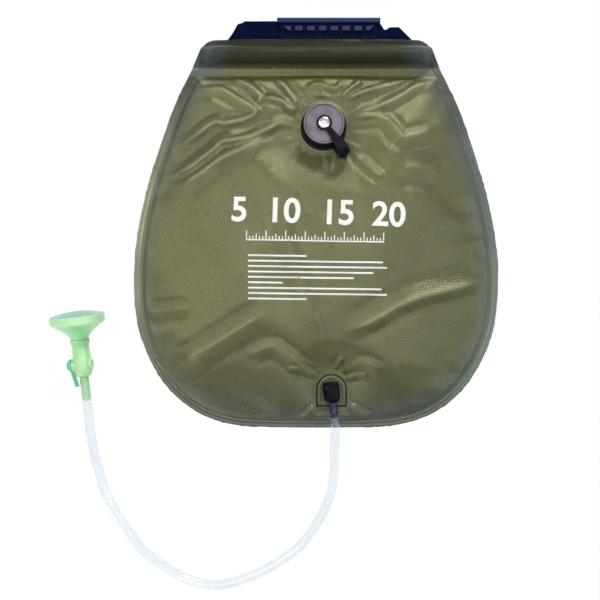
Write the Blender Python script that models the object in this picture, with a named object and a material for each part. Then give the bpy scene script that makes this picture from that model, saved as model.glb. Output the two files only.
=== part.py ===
"""A camp shower bag lying on its back, with its hose and its hand shower laid out beside it.

The origin is on the resting surface, under the middle of the bag. +X is to the right, +Y is
towards the carrying handle and +Z is up, away from the surface. Every size is in metres.
"""

from math import acos, atan2, ceil, cos, degrees, pi, radians, sin, tan

import bmesh
import bpy
import numpy as np
from mathutils import Matrix, Vector

# Clearances
GAP = 0.0003
FLOOR_GAP = 0.0001
THREAD_GAP = 0.0010
SAME_POINT = 0.000002
CHAMFER = 0.0006
CUT_PAST = 0.010

# Films of the bag
FILM = 0.0008
RIM_WELD = 0.008
CROWN = 0.024
CROWN_REACH = 0.150
CROWN_FULLNESS = 0.8
TOP_WELD = 0.0109
FLAP_DEPTH = 0.0215
FLAP_START = 0.0030
FLAP_EDGE_Z = 0.0012
BAG_WIDTH = 0.453
BAG_LENGTH = 0.482
BAG_MIDDLE_Y = -0.0025
BAG_SHAPE = [
    (0, 1),
    (0.2649, 1),
    (0.521, 1),
    (0.5872, 0.9917),
    (0.6247, 0.9627),
    (0.649, 0.9191),
    (0.6932, 0.832),
    (0.777, 0.666),
    (0.8499, 0.4793),
    (0.9183, 0.2718),
    (0.9713, 0.0643),
    (1, -0.1556),
    (0.9978, -0.3506),
    (0.9669, -0.5166),
    (0.8962, -0.6826),
    (0.7815, -0.8278),
    (0.6313, -0.9315),
    (0.4547, -0.9834),
    (0.2428, -0.9979),
    (0, -1),
]
OUTLINE_STEPS = 5
ROW_PITCH = 0.0215
EDGE_INSET = 0.0004

# Hanging tube in the hem
TUBE_R = 0.009
TUBE_WALL = 0.0015
TUBE_LENGTH = 0.236
HANDLE_X = 0.0015
SLEEVE_STEPS = 8
SLEEVE_END_ROOM = 0.004
SLEEVE_TAPER = 0.028
SLEEVE_END_RISE = 0.1

# Carrying strap and grip
STRAP_THICK = 0.0015
STRAP_WIDTH = 0.025
LEG_SPREAD = 0.100
HANDLE_REACH = 0.0456
LOOP_FLAT = 0.006
NOTCH_ROOM = 0.0015
GRIP_WALL = 0.002
GRIP_LENGTH = 0.120
RAIL_LENGTH = 0.128
GRIP_X = 0.0155
RAIL_DEPTH = 0.0062
RAIL_RISE = 0.0026
WINDOW_COUNT = 8
WINDOW_WIDTH = 0.011
WINDOW_PITCH = 0.0147
WINDOW_HEIGHT = 0.0125
WINDOW_SLANT = 0.004
FLAP_CLEARANCE = 0.0005

# Filler
FILLER = Vector((0.0088, 0.127))
FILLER_FILM_Z = 0.016
FILLER_FLAT = 0.0475
FILLER_BLEND = 0.030
FLANGE_R = 0.0305
FLANGE_THICK = 0.0015
NECK_BORE_R = 0.0165
NECK_WALL = 0.0036
NECK_HEIGHT = 0.0184
BOSS_STEP = 0.0008
COLLAR_R = 0.028
COLLAR_HEIGHT = 0.0025
CAP_R = 0.0246
CAP_TOP = 0.003
CAP_RIBS = 24
CAP_RIB_DEPTH = 0.0006
CAP_RIM = 0.0007
CAP_RIM_WIDTH = 0.0030
GASKET_THICK = 0.0012
GASKET_OVERHANG = 0.0009
CAP_PITCH = 0.004
RIVET_R = 0.0067
RIVET_HEAD = 0.0016
RIVET_SHANK_R = 0.0026
BUSH_WALL = 0.0012
TETHER_THICK = 0.0022
TETHER_EYE_R = 0.0092
TETHER_WIDTH = 0.0125
TETHER_ANGLE = radians(-53.5)
TETHER_FOOT_REACH = 0.040
TETHER_FOOT_LENGTH = 0.010
TETHER_FOOT_HEIGHT = 0.0055
TETHER_PEG_R = 0.0022

# Outlet
OUTLET = Vector((0.0190, -0.1950))
OUTLET_ANGLE = radians(-84.5)
OUTLET_FILM_Z = 0.0075
OUTLET_FLAT = 0.027
OUTLET_BLEND = 0.024
PATCH_R = 0.0178
PATCH_TAIL = 0.0205
PATCH_THICK = 0.0015
SPIGOT_R = 0.0058
SPIGOT_BORE_R = 0.0032
SPIGOT_HEIGHT = 0.0095
WASHER_R = 0.0095
WASHER_THICK = 0.0012
ELBOW_R = 0.0100
ELBOW_BARREL_R = 0.0080
ELBOW_REACH = 0.0150
ELBOW_TOP = 0.0055

# Hose and its barbs
HOSE_R = 0.0055
HOSE_BORE_R = 0.0044
BARB_R = 0.0036
BARB_RISE = 0.0005
BARB_BORE_R = 0.0024
OUTLET_BARB = 0.0190
TAIL_BARB = 0.0305
HOSE_POINTS = 64
HOSE_ROUTE = [
    (0.0228, -0.2460, 0.0172),
    (0.0226, -0.2580, 0.0144),
    (0.0227, -0.2790, 0.0086),
    (0.0216, -0.3016, 0.0058),
    (0.0187, -0.3215, 0.0058),
    (0.0100, -0.3455, 0.0058),
    (-0.0045, -0.3701, 0.0058),
    (-0.0256, -0.3950, 0.0058),
    (-0.0647, -0.4198, 0.0058),
    (-0.1030, -0.4348, 0.0058),
    (-0.1290, -0.4378, 0.0058),
    (-0.1566, -0.4318, 0.0058),
    (-0.1810, -0.4200, 0.0058),
    (-0.2137, -0.3955, 0.0060),
    (-0.2335, -0.3700, 0.0066),
    (-0.2491, -0.3448, 0.0078),
    (-0.2610, -0.3195, 0.0100),
    (-0.2680, -0.2942, 0.0130),
    (-0.2730, -0.2689, 0.0164),
    (-0.2768, -0.2438, 0.0193),
]

# Hand shower, with stations measured along its axis from the tip of its tail barb
HANDSET_TIP = Vector((-0.2796, -0.2063))
HANDSET_TURN = radians(5.0)
HANDSET_RISE = radians(6.0)
BODY_TAIL_R = 0.0092
BODY_R = 0.0111
BODY_NECK_R = 0.0100
VALVE_AT = 0.044
COLLAR_AT = 0.0693
BEAD_R = 0.0114
BELL_AT = 0.0753
FRONT_SPIGOT_R = 0.0086
FRONT_SPIGOT = 0.0070
WATERWAY_R = 0.0032
BELL_NECK_R = 0.0106
BELL_WALL = 0.0016
ROSE_R = 0.0324
RIM_AT = 0.0950
RIM_LENGTH = 0.0100
SEAL_THICK = 0.0010
PLATE_DOME = 0.0045
PLATE_THICK = 0.0016
PLATE_SEAT = 0.0036
SPRAY_RINGS = 3
SPRAY_HOLE_R = 0.0008
PLUG_R = 0.0054
PLUG_RING_DEPTH = 0.0010
VALVE_BOSS_R = 0.0081
VALVE_BOSS_OUT = 0.0115
PLUG_STUB_R = 0.0022
KNOB_R = 0.0079
KNOB_RISE = 0.0068
LEVER_LENGTH = 0.0262
LEVER_WIDTH = 0.0080
LEVER_THICK = 0.0028
LEVER_LEAN = 0.0042
RETAINER_R = 0.0040
RETAINER_THICK = 0.0014

# Places that follow from the sizes above
BAG_TOP = BAG_MIDDLE_Y + BAG_LENGTH / 2
BAG_BOTTOM = BAG_MIDDLE_Y - BAG_LENGTH / 2
TUBE_Y = BAG_TOP - FLAP_DEPTH
FRONT_WELD_Z = FILM + GAP
LOOP_INNER_R = TUBE_R + GAP
LOOP_OUTER_R = LOOP_INNER_R + STRAP_THICK
TUBE_Z = FLOOR_GAP + LOOP_OUTER_R
SLEEVE_R = LOOP_OUTER_R + GAP
TOP_WELD_Y = TUBE_Y - SLEEVE_R - TOP_WELD
FLAP_START_Y = TUBE_Y + SLEEVE_R + FLAP_START
GRIP_FLOOR = FLOOR_GAP
STRAP_Z = GRIP_FLOOR + GRIP_WALL + GAP
GRIP_TOP = STRAP_Z + STRAP_THICK + GAP + GRIP_WALL
FLAP_Z = GRIP_TOP + FLAP_CLEARANCE
STRAP_OUTER_Y = TUBE_Y + HANDLE_REACH
STRAP_INNER_Y = STRAP_OUTER_Y - STRAP_WIDTH
FILLER_TOP_Z = FILLER_FILM_Z + FILM
NECK_R = NECK_BORE_R + NECK_WALL
BOSS_R = NECK_R + BOSS_STEP
FLANGE_TOP = FILLER_FILM_Z - GAP
COLLAR_Z = FILLER_TOP_Z + GAP
COLLAR_TOP = COLLAR_Z + COLLAR_HEIGHT
NECK_TOP = FILLER_TOP_Z + NECK_HEIGHT
GASKET_Z = NECK_TOP + GAP
CAP_CEILING = GASKET_Z + GASKET_THICK + GAP
CAP_TOP_Z = CAP_CEILING + CAP_TOP
CAP_BOTTOM_Z = COLLAR_TOP + GAP
CAP_BORE_R = NECK_R + THREAD_GAP
EYE_Z = CAP_TOP_Z + GAP
BUSH_R = RIVET_SHANK_R + GAP + BUSH_WALL
BUSH_HEIGHT = TETHER_THICK + 2 * GAP
RIVET_Z = EYE_Z + BUSH_HEIGHT + GAP
OUTLET_TOP_Z = OUTLET_FILM_Z + FILM
PATCH_TOP = OUTLET_FILM_Z - GAP
SPIGOT_TOP = OUTLET_TOP_Z + SPIGOT_HEIGHT
WASHER_Z = OUTLET_TOP_Z + GAP
ELBOW_Z = WASHER_Z + WASHER_THICK + GAP
BARB_Z = ELBOW_Z + ELBOW_BARREL_R + GAP
HOSE_START = OUTLET + (ELBOW_REACH + OUTLET_BARB + GAP) * Vector((cos(OUTLET_ANGLE), sin(OUTLET_ANGLE)))
HANDSET_Z = FLOOR_GAP + ROSE_R * cos(HANDSET_RISE) - RIM_AT * sin(HANDSET_RISE)
PLATE_EDGE_AT = RIM_AT + RIM_LENGTH


def clear_scene():
    for old in list(bpy.data.objects):
        bpy.data.objects.remove(old, do_unlink=True)


def material(name, colour, roughness, metallic=0.0):
    """A plain Principled material in a linear colour."""
    made = bpy.data.materials.new(name)
    made.use_nodes = True
    shader = made.node_tree.nodes["Principled BSDF"]
    shader.inputs["Base Color"].default_value = (*colour, 1.0)
    shader.inputs["Roughness"].default_value = roughness
    shader.inputs["Metallic"].default_value = metallic
    made.diffuse_color = (*colour, 1.0)
    return made


def add_object(name, build, finish, sharp=35.0):
    """Turn a bmesh into an object with its faces outward and its round stretches smooth."""
    bmesh.ops.recalc_face_normals(build, faces=build.faces)
    mesh = bpy.data.meshes.new(name)
    build.to_mesh(mesh)
    build.free()
    mesh.shade_smooth()
    mesh.set_sharp_from_angle(angle=radians(sharp))
    mesh.materials.append(finish)
    made = bpy.data.objects.new(name, mesh)
    bpy.context.scene.collection.objects.link(made)
    return made


def place(made, location=(0.0, 0.0, 0.0), rotation=(0.0, 0.0, 0.0), parent=None):
    made.location = location
    made.rotation_euler = rotation
    made.parent = parent
    return made


def empty(name, location, rotation=(0.0, 0.0, 0.0), parent=None):
    made = bpy.data.objects.new(name, None)
    bpy.context.scene.collection.objects.link(made)
    return place(made, location, rotation, parent)


def as_cutter(made):
    made.hide_render = True
    made.display_type = "WIRE"
    return made


def combine(made, other, operation):
    """Cut the other solid out of this one, or join it on, and keep the result as plain mesh."""
    as_cutter(other)
    step = made.modifiers.new(operation.lower(), "BOOLEAN")
    step.operation = operation
    step.solver = "EXACT"
    step.object = other
    bpy.context.view_layer.update()
    graph = bpy.context.evaluated_depsgraph_get()
    result = bpy.data.meshes.new_from_object(made.evaluated_get(graph))
    made.modifiers.clear()
    old = made.data
    made.data = result
    result.name = made.name
    bpy.data.meshes.remove(old)
    bpy.data.objects.remove(other, do_unlink=True)
    build = bmesh.new()
    build.from_mesh(result)
    bmesh.ops.remove_doubles(build, verts=build.verts, dist=SAME_POINT)
    bmesh.ops.dissolve_degenerate(build, edges=build.edges, dist=SAME_POINT)
    build.to_mesh(result)
    build.free()
    result.shade_smooth()
    result.set_sharp_from_angle(angle=radians(35.0))
    return made


def cut(made, *cutters):
    for cutter in cutters:
        combine(made, cutter, "DIFFERENCE")
    return made


def join(made, *others):
    for other in others:
        combine(made, other, "UNION")
    return made


def skin_rings(build, rings, closed_loop=False, caps=True):
    """Faces between rings of as many points each, with end caps unless the rings close on themselves."""
    made = [[build.verts.new(point) for point in ring] for ring in rings]
    pairs = list(zip(made, made[1:]))
    if closed_loop:
        pairs.append((made[-1], made[0]))
    for first, second in pairs:
        count = len(first)
        for i in range(count):
            j = (i + 1) % count
            build.faces.new((first[i], first[j], second[j], second[i]))
    if caps and not closed_loop:
        build.faces.new(made[0])
        build.faces.new(made[-1])


def turned(name, profile, finish, steps=32, radius_at=None):
    """A solid of revolution round Z from a closed profile of (radius, height).

    A profile that touches the axis does so at its first and its last point.
    """
    build = bmesh.new()
    columns = []
    for radius, height in profile:
        if radius == 0.0:
            columns.append([build.verts.new((0.0, 0.0, height))] * steps)
            continue
        ring = []
        for i in range(steps):
            turn = 2 * pi * i / steps
            reach = radius_at(radius, height, turn) if radius_at else radius
            ring.append(build.verts.new((reach * cos(turn), reach * sin(turn), height)))
        columns.append(ring)
    pairs = list(zip(columns, columns[1:]))
    if profile[0][0] != 0.0:
        pairs.append((columns[-1], columns[0]))
    for first, second in pairs:
        for i in range(steps):
            j = (i + 1) % steps
            corners = list(dict.fromkeys((first[i], first[j], second[j], second[i])))
            if len(corners) > 2:
                build.faces.new(corners)
    return add_object(name, build, finish)


def rod(name, radius, low, high, finish=None, steps=32):
    """A plain round bar along Z."""
    return turned(name, [(0.0, low), (radius, low), (radius, high), (0.0, high)], finish, steps)


def slab(name, outline, low, high, finish=None):
    """A flat plate: a closed outline of (x, y), raised from low to high."""
    build = bmesh.new()
    skin_rings(build, [[(x, y, low) for x, y in outline], [(x, y, high) for x, y in outline]])
    return add_object(name, build, finish)


def bar(name, section, low, high, finish=None):
    """A straight bar along X: a closed section of (y, z), run from low to high."""
    build = bmesh.new()
    skin_rings(build, [[(low, y, z) for y, z in section], [(high, y, z) for y, z in section]])
    return add_object(name, build, finish)


def block(name, low, high, finish=None):
    outline = [(low[0], low[1]), (high[0], low[1]), (high[0], high[1]), (low[0], high[1])]
    return slab(name, outline, low[2], high[2], finish)


def soften(made, width, segments=2, angle=50.0):
    """Round the sharp edges, as a moulding has them."""
    step = made.modifiers.new("soft_edges", "BEVEL")
    step.width = width
    step.segments = segments
    step.limit_method = "ANGLE"
    step.angle_limit = radians(angle)
    step.use_clamp_overlap = True
    return made


def smooth_curve(points, steps):
    """Points on a Catmull-Rom curve through the given points, with steps between neighbours."""
    points = np.array(points, float)
    ends = [2 * points[0] - points[1]], [2 * points[-1] - points[-2]]
    padded = np.concatenate([ends[0], points, ends[1]])
    found = []
    for i in range(len(points) - 1):
        a, b, c, d = padded[i : i + 4]
        for t in np.arange(steps) / steps:
            found.append(
                0.5 * (2 * b + (c - a) * t + (2 * a - 5 * b + 4 * c - d) * t**2 + (3 * b - a - 3 * c + d) * t**3)
            )
    found.append(points[-1])
    return np.array(found)


def ease(value):
    """A smooth step from 0 to 1."""
    value = np.clip(value, 0.0, 1.0)
    return value * value * (3 - 2 * value)


def bag_outline():
    """The right half of the bag's outline, from the middle of its top round to the middle of its bottom."""
    points = [(x * BAG_WIDTH / 2, BAG_MIDDLE_Y + y * BAG_LENGTH / 2) for x, y in BAG_SHAPE]
    return smooth_curve(points, OUTLINE_STEPS)


OUTLINE = bag_outline()


def half_width(y):
    """Half the bag's width at a height y on it."""
    first = OUTLINE_STEPS * 2
    side = OUTLINE[first:]
    return float(np.interp(-y, -side[:, 1], side[:, 0]))


def rim_distance(x, y):
    """How far a point on the bag lies inside its outline."""
    point = np.array([abs(x), y])
    starts = OUTLINE[:-1]
    runs = OUTLINE[1:] - starts
    along = np.einsum("ij,ij->i", point - starts, runs) / np.einsum("ij,ij->i", runs, runs)
    nearest = starts + runs * np.clip(along, 0.0, 1.0)[:, None]
    return float(np.sqrt(((point - nearest) ** 2).sum(axis=1).min()))


def level_off(z, x, y, centre, flat, blend, level):
    """Bring the film to one level round a fitting."""
    reach = ((x - centre.x) ** 2 + (y - centre.y) ** 2) ** 0.5
    share = 1.0 - ease((reach - flat) / blend)
    return z + (level - z) * share


def crown_z(x, y):
    """Height of the underside of the front film over the chamber and its welds."""
    inside = min(rim_distance(x, y) - RIM_WELD, TOP_WELD_Y - y)
    if inside <= 0.0:
        return FRONT_WELD_Z
    share = min(inside / CROWN_REACH, 1.0)
    z = FRONT_WELD_Z + CROWN * sin(pi / 2 * share) ** CROWN_FULLNESS
    z = level_off(z, x, y, FILLER, FILLER_FLAT, FILLER_BLEND, FILLER_FILM_Z)
    z = level_off(z, x, y, OUTLET, OUTLET_FLAT, OUTLET_BLEND, OUTLET_FILM_Z)
    weld = ease(inside / RIM_WELD)
    return FRONT_WELD_Z + (z - FRONT_WELD_Z) * weld


def flap_z(x):
    """Height of the underside of the back film in the top flap: over the grip, then the strap, then low."""
    over_grip = LEG_SPREAD - STRAP_WIDTH / 3
    over_strap = LEG_SPREAD + STRAP_WIDTH / 2
    stations = [0.0, over_grip, over_strap, half_width(TUBE_Y)]
    heights = [FLAP_Z, FLAP_Z, STRAP_Z + STRAP_THICK + 2 * GAP, FLAP_EDGE_Z]
    return float(np.interp(abs(x - HANDLE_X), stations, heights))


def sleeve_share(x):
    """1 over the tube, falling to a low channel that stays open at the bag's sides."""
    past = abs(x - HANDLE_X) - TUBE_LENGTH / 2 - SLEEVE_END_ROOM
    return 1.0 - (1.0 - SLEEVE_END_RISE) * float(ease(past / SLEEVE_TAPER))


def film_columns(y):
    """Places across the bag at one height on it: the rim, the weld's inner edge, and even steps between."""
    outer = half_width(y)
    inner = outer - min(RIM_WELD, outer * 0.3)
    shares = np.linspace(-1.0, 1.0, 21)
    return [-outer, *(inner * shares), outer]


def chamber_rows():
    """Heights on the bag where the films have a row of points, closest together round the bottom."""
    near = [BAG_BOTTOM + RIM_WELD * step for step in (0.04, 0.19, 0.5, 1.0, 1.6, 2.4, 3.4, 4.6)]
    count = ceil((TOP_WELD_Y - near[-1]) / ROW_PITCH)
    return near + list(np.linspace(near[-1], TOP_WELD_Y, count + 1)[1:])


def film_solid(name, rows, finish):
    """A film from rows of points, thickened upwards."""
    build = bmesh.new()
    made = [[build.verts.new(point) for point in row] for row in rows]
    for first, second in zip(made, made[1:]):
        for a, b, c, d in zip(first, first[1:], second[1:], second):
            build.faces.new((a, b, c, d))
    for face in build.faces:
        face.normal_update()
    mesh = bpy.data.meshes.new(name)
    build.to_mesh(mesh)
    build.free()
    mesh.materials.append(finish)
    mesh.shade_smooth()
    made = bpy.data.objects.new(name, mesh)
    bpy.context.scene.collection.objects.link(made)
    thick = made.modifiers.new("film", "SOLIDIFY")
    thick.thickness = FILM
    thick.offset = 1.0
    thick.use_even_offset = True
    return made


def front_film(finish):
    """The front film: crowned chamber, top weld, sleeve over the tube and top flap, in one sheet."""
    rows = [[(x, y, crown_z(x, y)) for x in film_columns(y)] for y in chamber_rows()]
    rounded = SLEEVE_R / cos(pi / 2 / SLEEVE_STEPS)
    foot_y = TUBE_Y - rounded
    flap_front = FLAP_Z + FRONT_WELD_Z
    away = Vector((FLAP_START_Y - TUBE_Y, flap_front - TUBE_Z))
    leave = atan2(away.y, away.x) + acos(rounded / away.length)
    hem = [(foot_y, FRONT_WELD_Z)]
    for step in range(SLEEVE_STEPS + 1):
        turn = pi + (leave - pi) * step / SLEEVE_STEPS
        hem.append((TUBE_Y + rounded * cos(turn), TUBE_Z + rounded * sin(turn)))
    hem += [(FLAP_START_Y, flap_front), (BAG_TOP - EDGE_INSET, flap_front)]
    arc_end = hem[SLEEVE_STEPS + 1][0]
    for y, z in hem:
        row = []
        for x in film_columns(y):
            raised = sleeve_share(x)
            run = min(max((y - foot_y) / (FLAP_START_Y - foot_y), 0.0), 1.0)
            late_run = min(max((y - arc_end) / (FLAP_START_Y - arc_end), 0.0), 1.0)
            base = FRONT_WELD_Z + (flap_front - FRONT_WELD_Z) * run
            drop = late_run * raised + run * (1.0 - raised)
            row.append((x, y, base + (z - base) * raised - (FLAP_Z - flap_z(x)) * drop))
        rows.append(row)
    made = film_solid("front_film", rows, finish)
    filler_hole = rod("filler_hole", BOSS_R + GAP, -0.01, 0.06, steps=48)
    place(filler_hole, (FILLER.x, FILLER.y, 0.0))
    outlet_hole = rod("outlet_hole", SPIGOT_R + GAP, -0.01, 0.06, steps=24)
    place(outlet_hole, (OUTLET.x, OUTLET.y, 0.0))
    return cut(made, filler_hole, outlet_hole)


def back_film(finish):
    """The back film: flat on the surface, then up to the top flap, notched where the strap loops the tube."""
    bend_y = TUBE_Y + TUBE_R * 0.2
    every = chamber_rows()
    rows = [[(x, y, 0.0) for x in film_columns(y)] for y in [*every[:8], *every[8::2], TOP_WELD_Y, bend_y]]
    for y in (FLAP_START_Y, BAG_TOP - EDGE_INSET):
        rows.append([(x, y, flap_z(x)) for x in film_columns(y)])
    made = film_solid("back_film", rows, finish)
    reach = LOOP_OUTER_R + NOTCH_ROOM
    for side, label in ((-1, "left"), (1, "right")):
        x = HANDLE_X + side * LEG_SPREAD
        half = STRAP_WIDTH / 2 + NOTCH_ROOM
        notch = block(f"notch_{label}", (x - half, TUBE_Y - reach, -0.01), (x + half, TUBE_Y + reach, 0.02))
        cut(made, notch)
    return made


def hanging_tube(finish):
    """The plastic tube in the hem. A line goes through it, and the strap's loops go round it."""
    half = TUBE_LENGTH / 2
    inner = TUBE_R - TUBE_WALL
    made = turned("hanging_tube", [(inner, -half), (TUBE_R, -half), (TUBE_R, half), (inner, half)], finish, 32)
    return place(made, (HANDLE_X, TUBE_Y, TUBE_Z), (0.0, pi / 2, 0.0))


def strap_outline():
    """The flat part of the strap seen from above: a bridge with two legs, its outer corners folded off."""
    half = STRAP_WIDTH / 2
    outer = LEG_SPREAD + half
    inner = LEG_SPREAD - half
    leg_end = STRAP_INNER_Y - 0.002
    fold = STRAP_WIDTH * 0.86
    right = [
        (inner, STRAP_INNER_Y),
        (inner, leg_end),
        (outer, leg_end),
        (outer, STRAP_OUTER_Y - fold),
        (outer - fold * 0.9, STRAP_OUTER_Y),
    ]
    left = [(-x, y) for x, y in reversed(right)]
    return [(x, y - TUBE_Y) for x, y in right + left]


def handle_strap(finish, pivot):
    """The webbing strap: a bridge through the grip, and two legs that loop round the tube."""
    low = STRAP_Z - TUBE_Z
    made = slab("handle_strap", strap_outline(), low, low + STRAP_THICK, finish)
    ring = -LOOP_OUTER_R
    end_y = STRAP_INNER_Y - TUBE_Y
    section = [
        (0.0, ring),
        (LOOP_FLAT, ring),
        (end_y - 0.003, low),
        (end_y + 0.004, low),
        (end_y + 0.004, low + STRAP_THICK),
        (end_y - 0.003, low + STRAP_THICK),
        (LOOP_FLAT, ring + STRAP_THICK),
        (0.0, ring + STRAP_THICK),
    ]
    half = STRAP_WIDTH / 2
    profile = [(LOOP_INNER_R, -half), (LOOP_OUTER_R, -half), (LOOP_OUTER_R, half), (LOOP_INNER_R, half)]
    for side in (-1, 1):
        x = side * LEG_SPREAD
        leg = bar("leg", section, x - half, x + half)
        loop = turned("loop", profile, None, 32)
        place(loop, (x, 0.0, 0.0), (0.0, pi / 2, 0.0))
        bpy.context.view_layer.update()
        join(made, leg, loop)
    return place(made, parent=pivot)


def window_outline(index):
    """One window of the grip. The two end ones slant inwards like the rail's ends."""
    middle = (index - (WINDOW_COUNT - 1) / 2) * WINDOW_PITCH
    left = middle - WINDOW_WIDTH / 2
    right = middle + WINDOW_WIDTH / 2
    low = (STRAP_INNER_Y + STRAP_OUTER_Y) / 2 - WINDOW_HEIGHT / 2 - TUBE_Y
    high = low + WINDOW_HEIGHT
    left_low = left + (WINDOW_SLANT if index == 0 else 0.0)
    right_low = right - (WINDOW_SLANT if index == WINDOW_COUNT - 1 else 0.0)
    return [(left_low, low), (right_low, low), (right, high), (left, high)]


def handle_grip(finish, slider):
    """The moulded channel round the strap, open towards the rail, with a row of windows through it."""
    base = -TUBE_Z
    y0 = STRAP_INNER_Y - TUBE_Y - GAP - GRIP_WALL
    y1 = STRAP_OUTER_Y - TUBE_Y + GAP
    inner = y0 + GRIP_WALL
    corner = GRIP_WALL * 0.45
    low = GRIP_FLOOR + base
    high = GRIP_TOP + base
    section = [
        (y0 + corner, low),
        (y1, low),
        (y1, low + GRIP_WALL),
        (inner, low + GRIP_WALL),
        (inner, high - GRIP_WALL),
        (y1, high - GRIP_WALL),
        (y1, high),
        (y0 + corner, high),
        (y0, high - corner),
        (y0, low + corner),
    ]
    made = bar("handle_grip", section, -GRIP_LENGTH / 2, GRIP_LENGTH / 2, finish)
    for index in range(WINDOW_COUNT):
        cut(made, slab("window", window_outline(index), low - 0.01, high + 0.01))
    return place(made, parent=slider)


def grip_rail(finish, slider):
    """The rounded rail that closes the channel and overhangs it at both ends. Its outer face is flat."""
    base = -TUBE_Z
    y0 = STRAP_OUTER_Y - TUBE_Y + 2 * GAP
    y1 = y0 + GRIP_WALL + GAP
    shelf = GRIP_TOP + base + GAP
    low = GRIP_FLOOR + base
    top = shelf + RAIL_RISE
    lip = y1 - RAIL_DEPTH
    round_off = RAIL_RISE * 0.4
    section = [
        (y0, low),
        (y1, low),
        (y1, top - round_off),
        (y1 - round_off, top),
        (lip + round_off, top),
        (lip, top - round_off),
        (lip, shelf),
        (y0, shelf),
    ]
    made = bar("grip_rail", section, -RAIL_LENGTH / 2, RAIL_LENGTH / 2, finish)
    return place(made, parent=slider)


def filler_neck(finish):
    """The threaded neck with its flange under the front film."""
    low = FLANGE_TOP - FLANGE_THICK
    chamfer = CHAMFER
    profile = [
        (NECK_BORE_R, low),
        (FLANGE_R, low),
        (FLANGE_R, FLANGE_TOP),
        (BOSS_R, FLANGE_TOP),
        (BOSS_R, COLLAR_TOP),
        (NECK_R, COLLAR_TOP),
        (NECK_R, NECK_TOP - chamfer),
        (NECK_R - chamfer, NECK_TOP),
        (NECK_BORE_R + chamfer, NECK_TOP),
        (NECK_BORE_R, NECK_TOP - chamfer),
    ]
    return place(turned("filler_neck", profile, finish, 36), (FILLER.x, FILLER.y, 0.0))


def neck_collar(finish):
    """The rubber collar on the film round the neck, with the lug that the tether is pegged to."""
    inner = BOSS_R + GAP
    chamfer = COLLAR_HEIGHT * 0.3
    profile = [
        (inner, COLLAR_Z),
        (COLLAR_R, COLLAR_Z),
        (COLLAR_R, COLLAR_TOP - chamfer),
        (COLLAR_R - chamfer, COLLAR_TOP),
        (inner, COLLAR_TOP),
    ]
    made = turned("neck_collar", profile, finish, 36)
    reach = TETHER_FOOT_REACH
    half = TETHER_WIDTH / 2
    end = reach + TETHER_FOOT_LENGTH * 0.6
    start = COLLAR_R - COLLAR_HEIGHT
    outline = [(start, -half), (end - half * 0.6, -half), (end, -half * 0.4), (end, half * 0.4)]
    outline += [(end - half * 0.6, half), (start, half)]
    lug = slab("lug", outline, COLLAR_Z, COLLAR_TOP)
    join(made, lug)
    cut(made, place(rod("peg_hole", TETHER_PEG_R + GAP, COLLAR_Z - CUT_PAST, COLLAR_TOP + CUT_PAST, steps=16), (reach, 0, 0)))
    return place(made, (FILLER.x, FILLER.y, 0.0), (0.0, 0.0, TETHER_ANGLE))


def cap_rib(radius, height, turn):
    """The cap's outer wall, ribbed for the fingers below its smooth rim."""
    if radius < CAP_R or height > CAP_TOP_Z - CAP_TOP * 0.9:
        return radius
    return radius - CAP_RIB_DEPTH * (0.5 - 0.5 * cos(turn * CAP_RIBS))


def filler_cap(finish, hub):
    """The screw cap: ribbed skirt, raised rim on its flat top, and a blind hole for the tether's rivet."""
    rim_in = CAP_R - CAP_RIM_WIDTH
    rivet_hole = RIVET_SHANK_R + GAP
    floor = CAP_CEILING + CAP_TOP * 0.3
    profile = [
        (0.0, CAP_CEILING),
        (CAP_BORE_R, CAP_CEILING),
        (CAP_BORE_R, CAP_BOTTOM_Z),
        (CAP_R, CAP_BOTTOM_Z),
        (CAP_R, CAP_TOP_Z - CAP_TOP),
        (CAP_R, CAP_TOP_Z - CAP_TOP * 0.5),
        (CAP_R - CAP_RIM_WIDTH * 0.27, CAP_TOP_Z + CAP_RIM * 0.5),
        (CAP_R - CAP_RIM_WIDTH * 0.53, CAP_TOP_Z + CAP_RIM),
        (rim_in, CAP_TOP_Z),
        (rivet_hole, CAP_TOP_Z),
        (rivet_hole, floor),
        (0.0, floor),
    ]
    made = turned("filler_cap", profile, finish, CAP_RIBS * 2, cap_rib)
    return place(made, parent=hub)


def cap_gasket(finish, hub):
    profile = [
        (NECK_BORE_R - GASKET_OVERHANG, GASKET_Z),
        (NECK_R + GASKET_OVERHANG / 2, GASKET_Z),
        (NECK_R + GASKET_OVERHANG / 2, GASKET_Z + GASKET_THICK),
        (NECK_BORE_R - GASKET_OVERHANG, GASKET_Z + GASKET_THICK),
    ]
    return place(turned("cap_gasket", profile, finish, 36), parent=hub)


def tether_bush(finish, hub):
    inner = RIVET_SHANK_R + GAP
    profile = [(inner, EYE_Z), (BUSH_R, EYE_Z), (BUSH_R, EYE_Z + BUSH_HEIGHT), (inner, EYE_Z + BUSH_HEIGHT)]
    return place(turned("tether_bush", profile, finish, 24), parent=hub)


def tether_rivet(finish, hub):
    """The bright tubular rivet: a low domed head with a dimple, and a shank down into the cap."""
    dimple = RIVET_R * 0.24
    profile = [
        (0.0, RIVET_Z + RIVET_HEAD * 0.35),
        (dimple, RIVET_Z + RIVET_HEAD * 0.45),
        (dimple * 1.5, RIVET_Z + RIVET_HEAD),
        (RIVET_R * 0.62, RIVET_Z + RIVET_HEAD * 0.92),
        (RIVET_R * 0.9, RIVET_Z + RIVET_HEAD * 0.5),
        (RIVET_R, RIVET_Z),
        (RIVET_SHANK_R, RIVET_Z),
        (RIVET_SHANK_R, CAP_CEILING + CAP_TOP * 0.3 + GAP),
        (0.0, CAP_CEILING + CAP_TOP * 0.3 + GAP),
    ]
    return place(turned("tether_rivet", profile, finish, 32), parent=hub)


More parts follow.
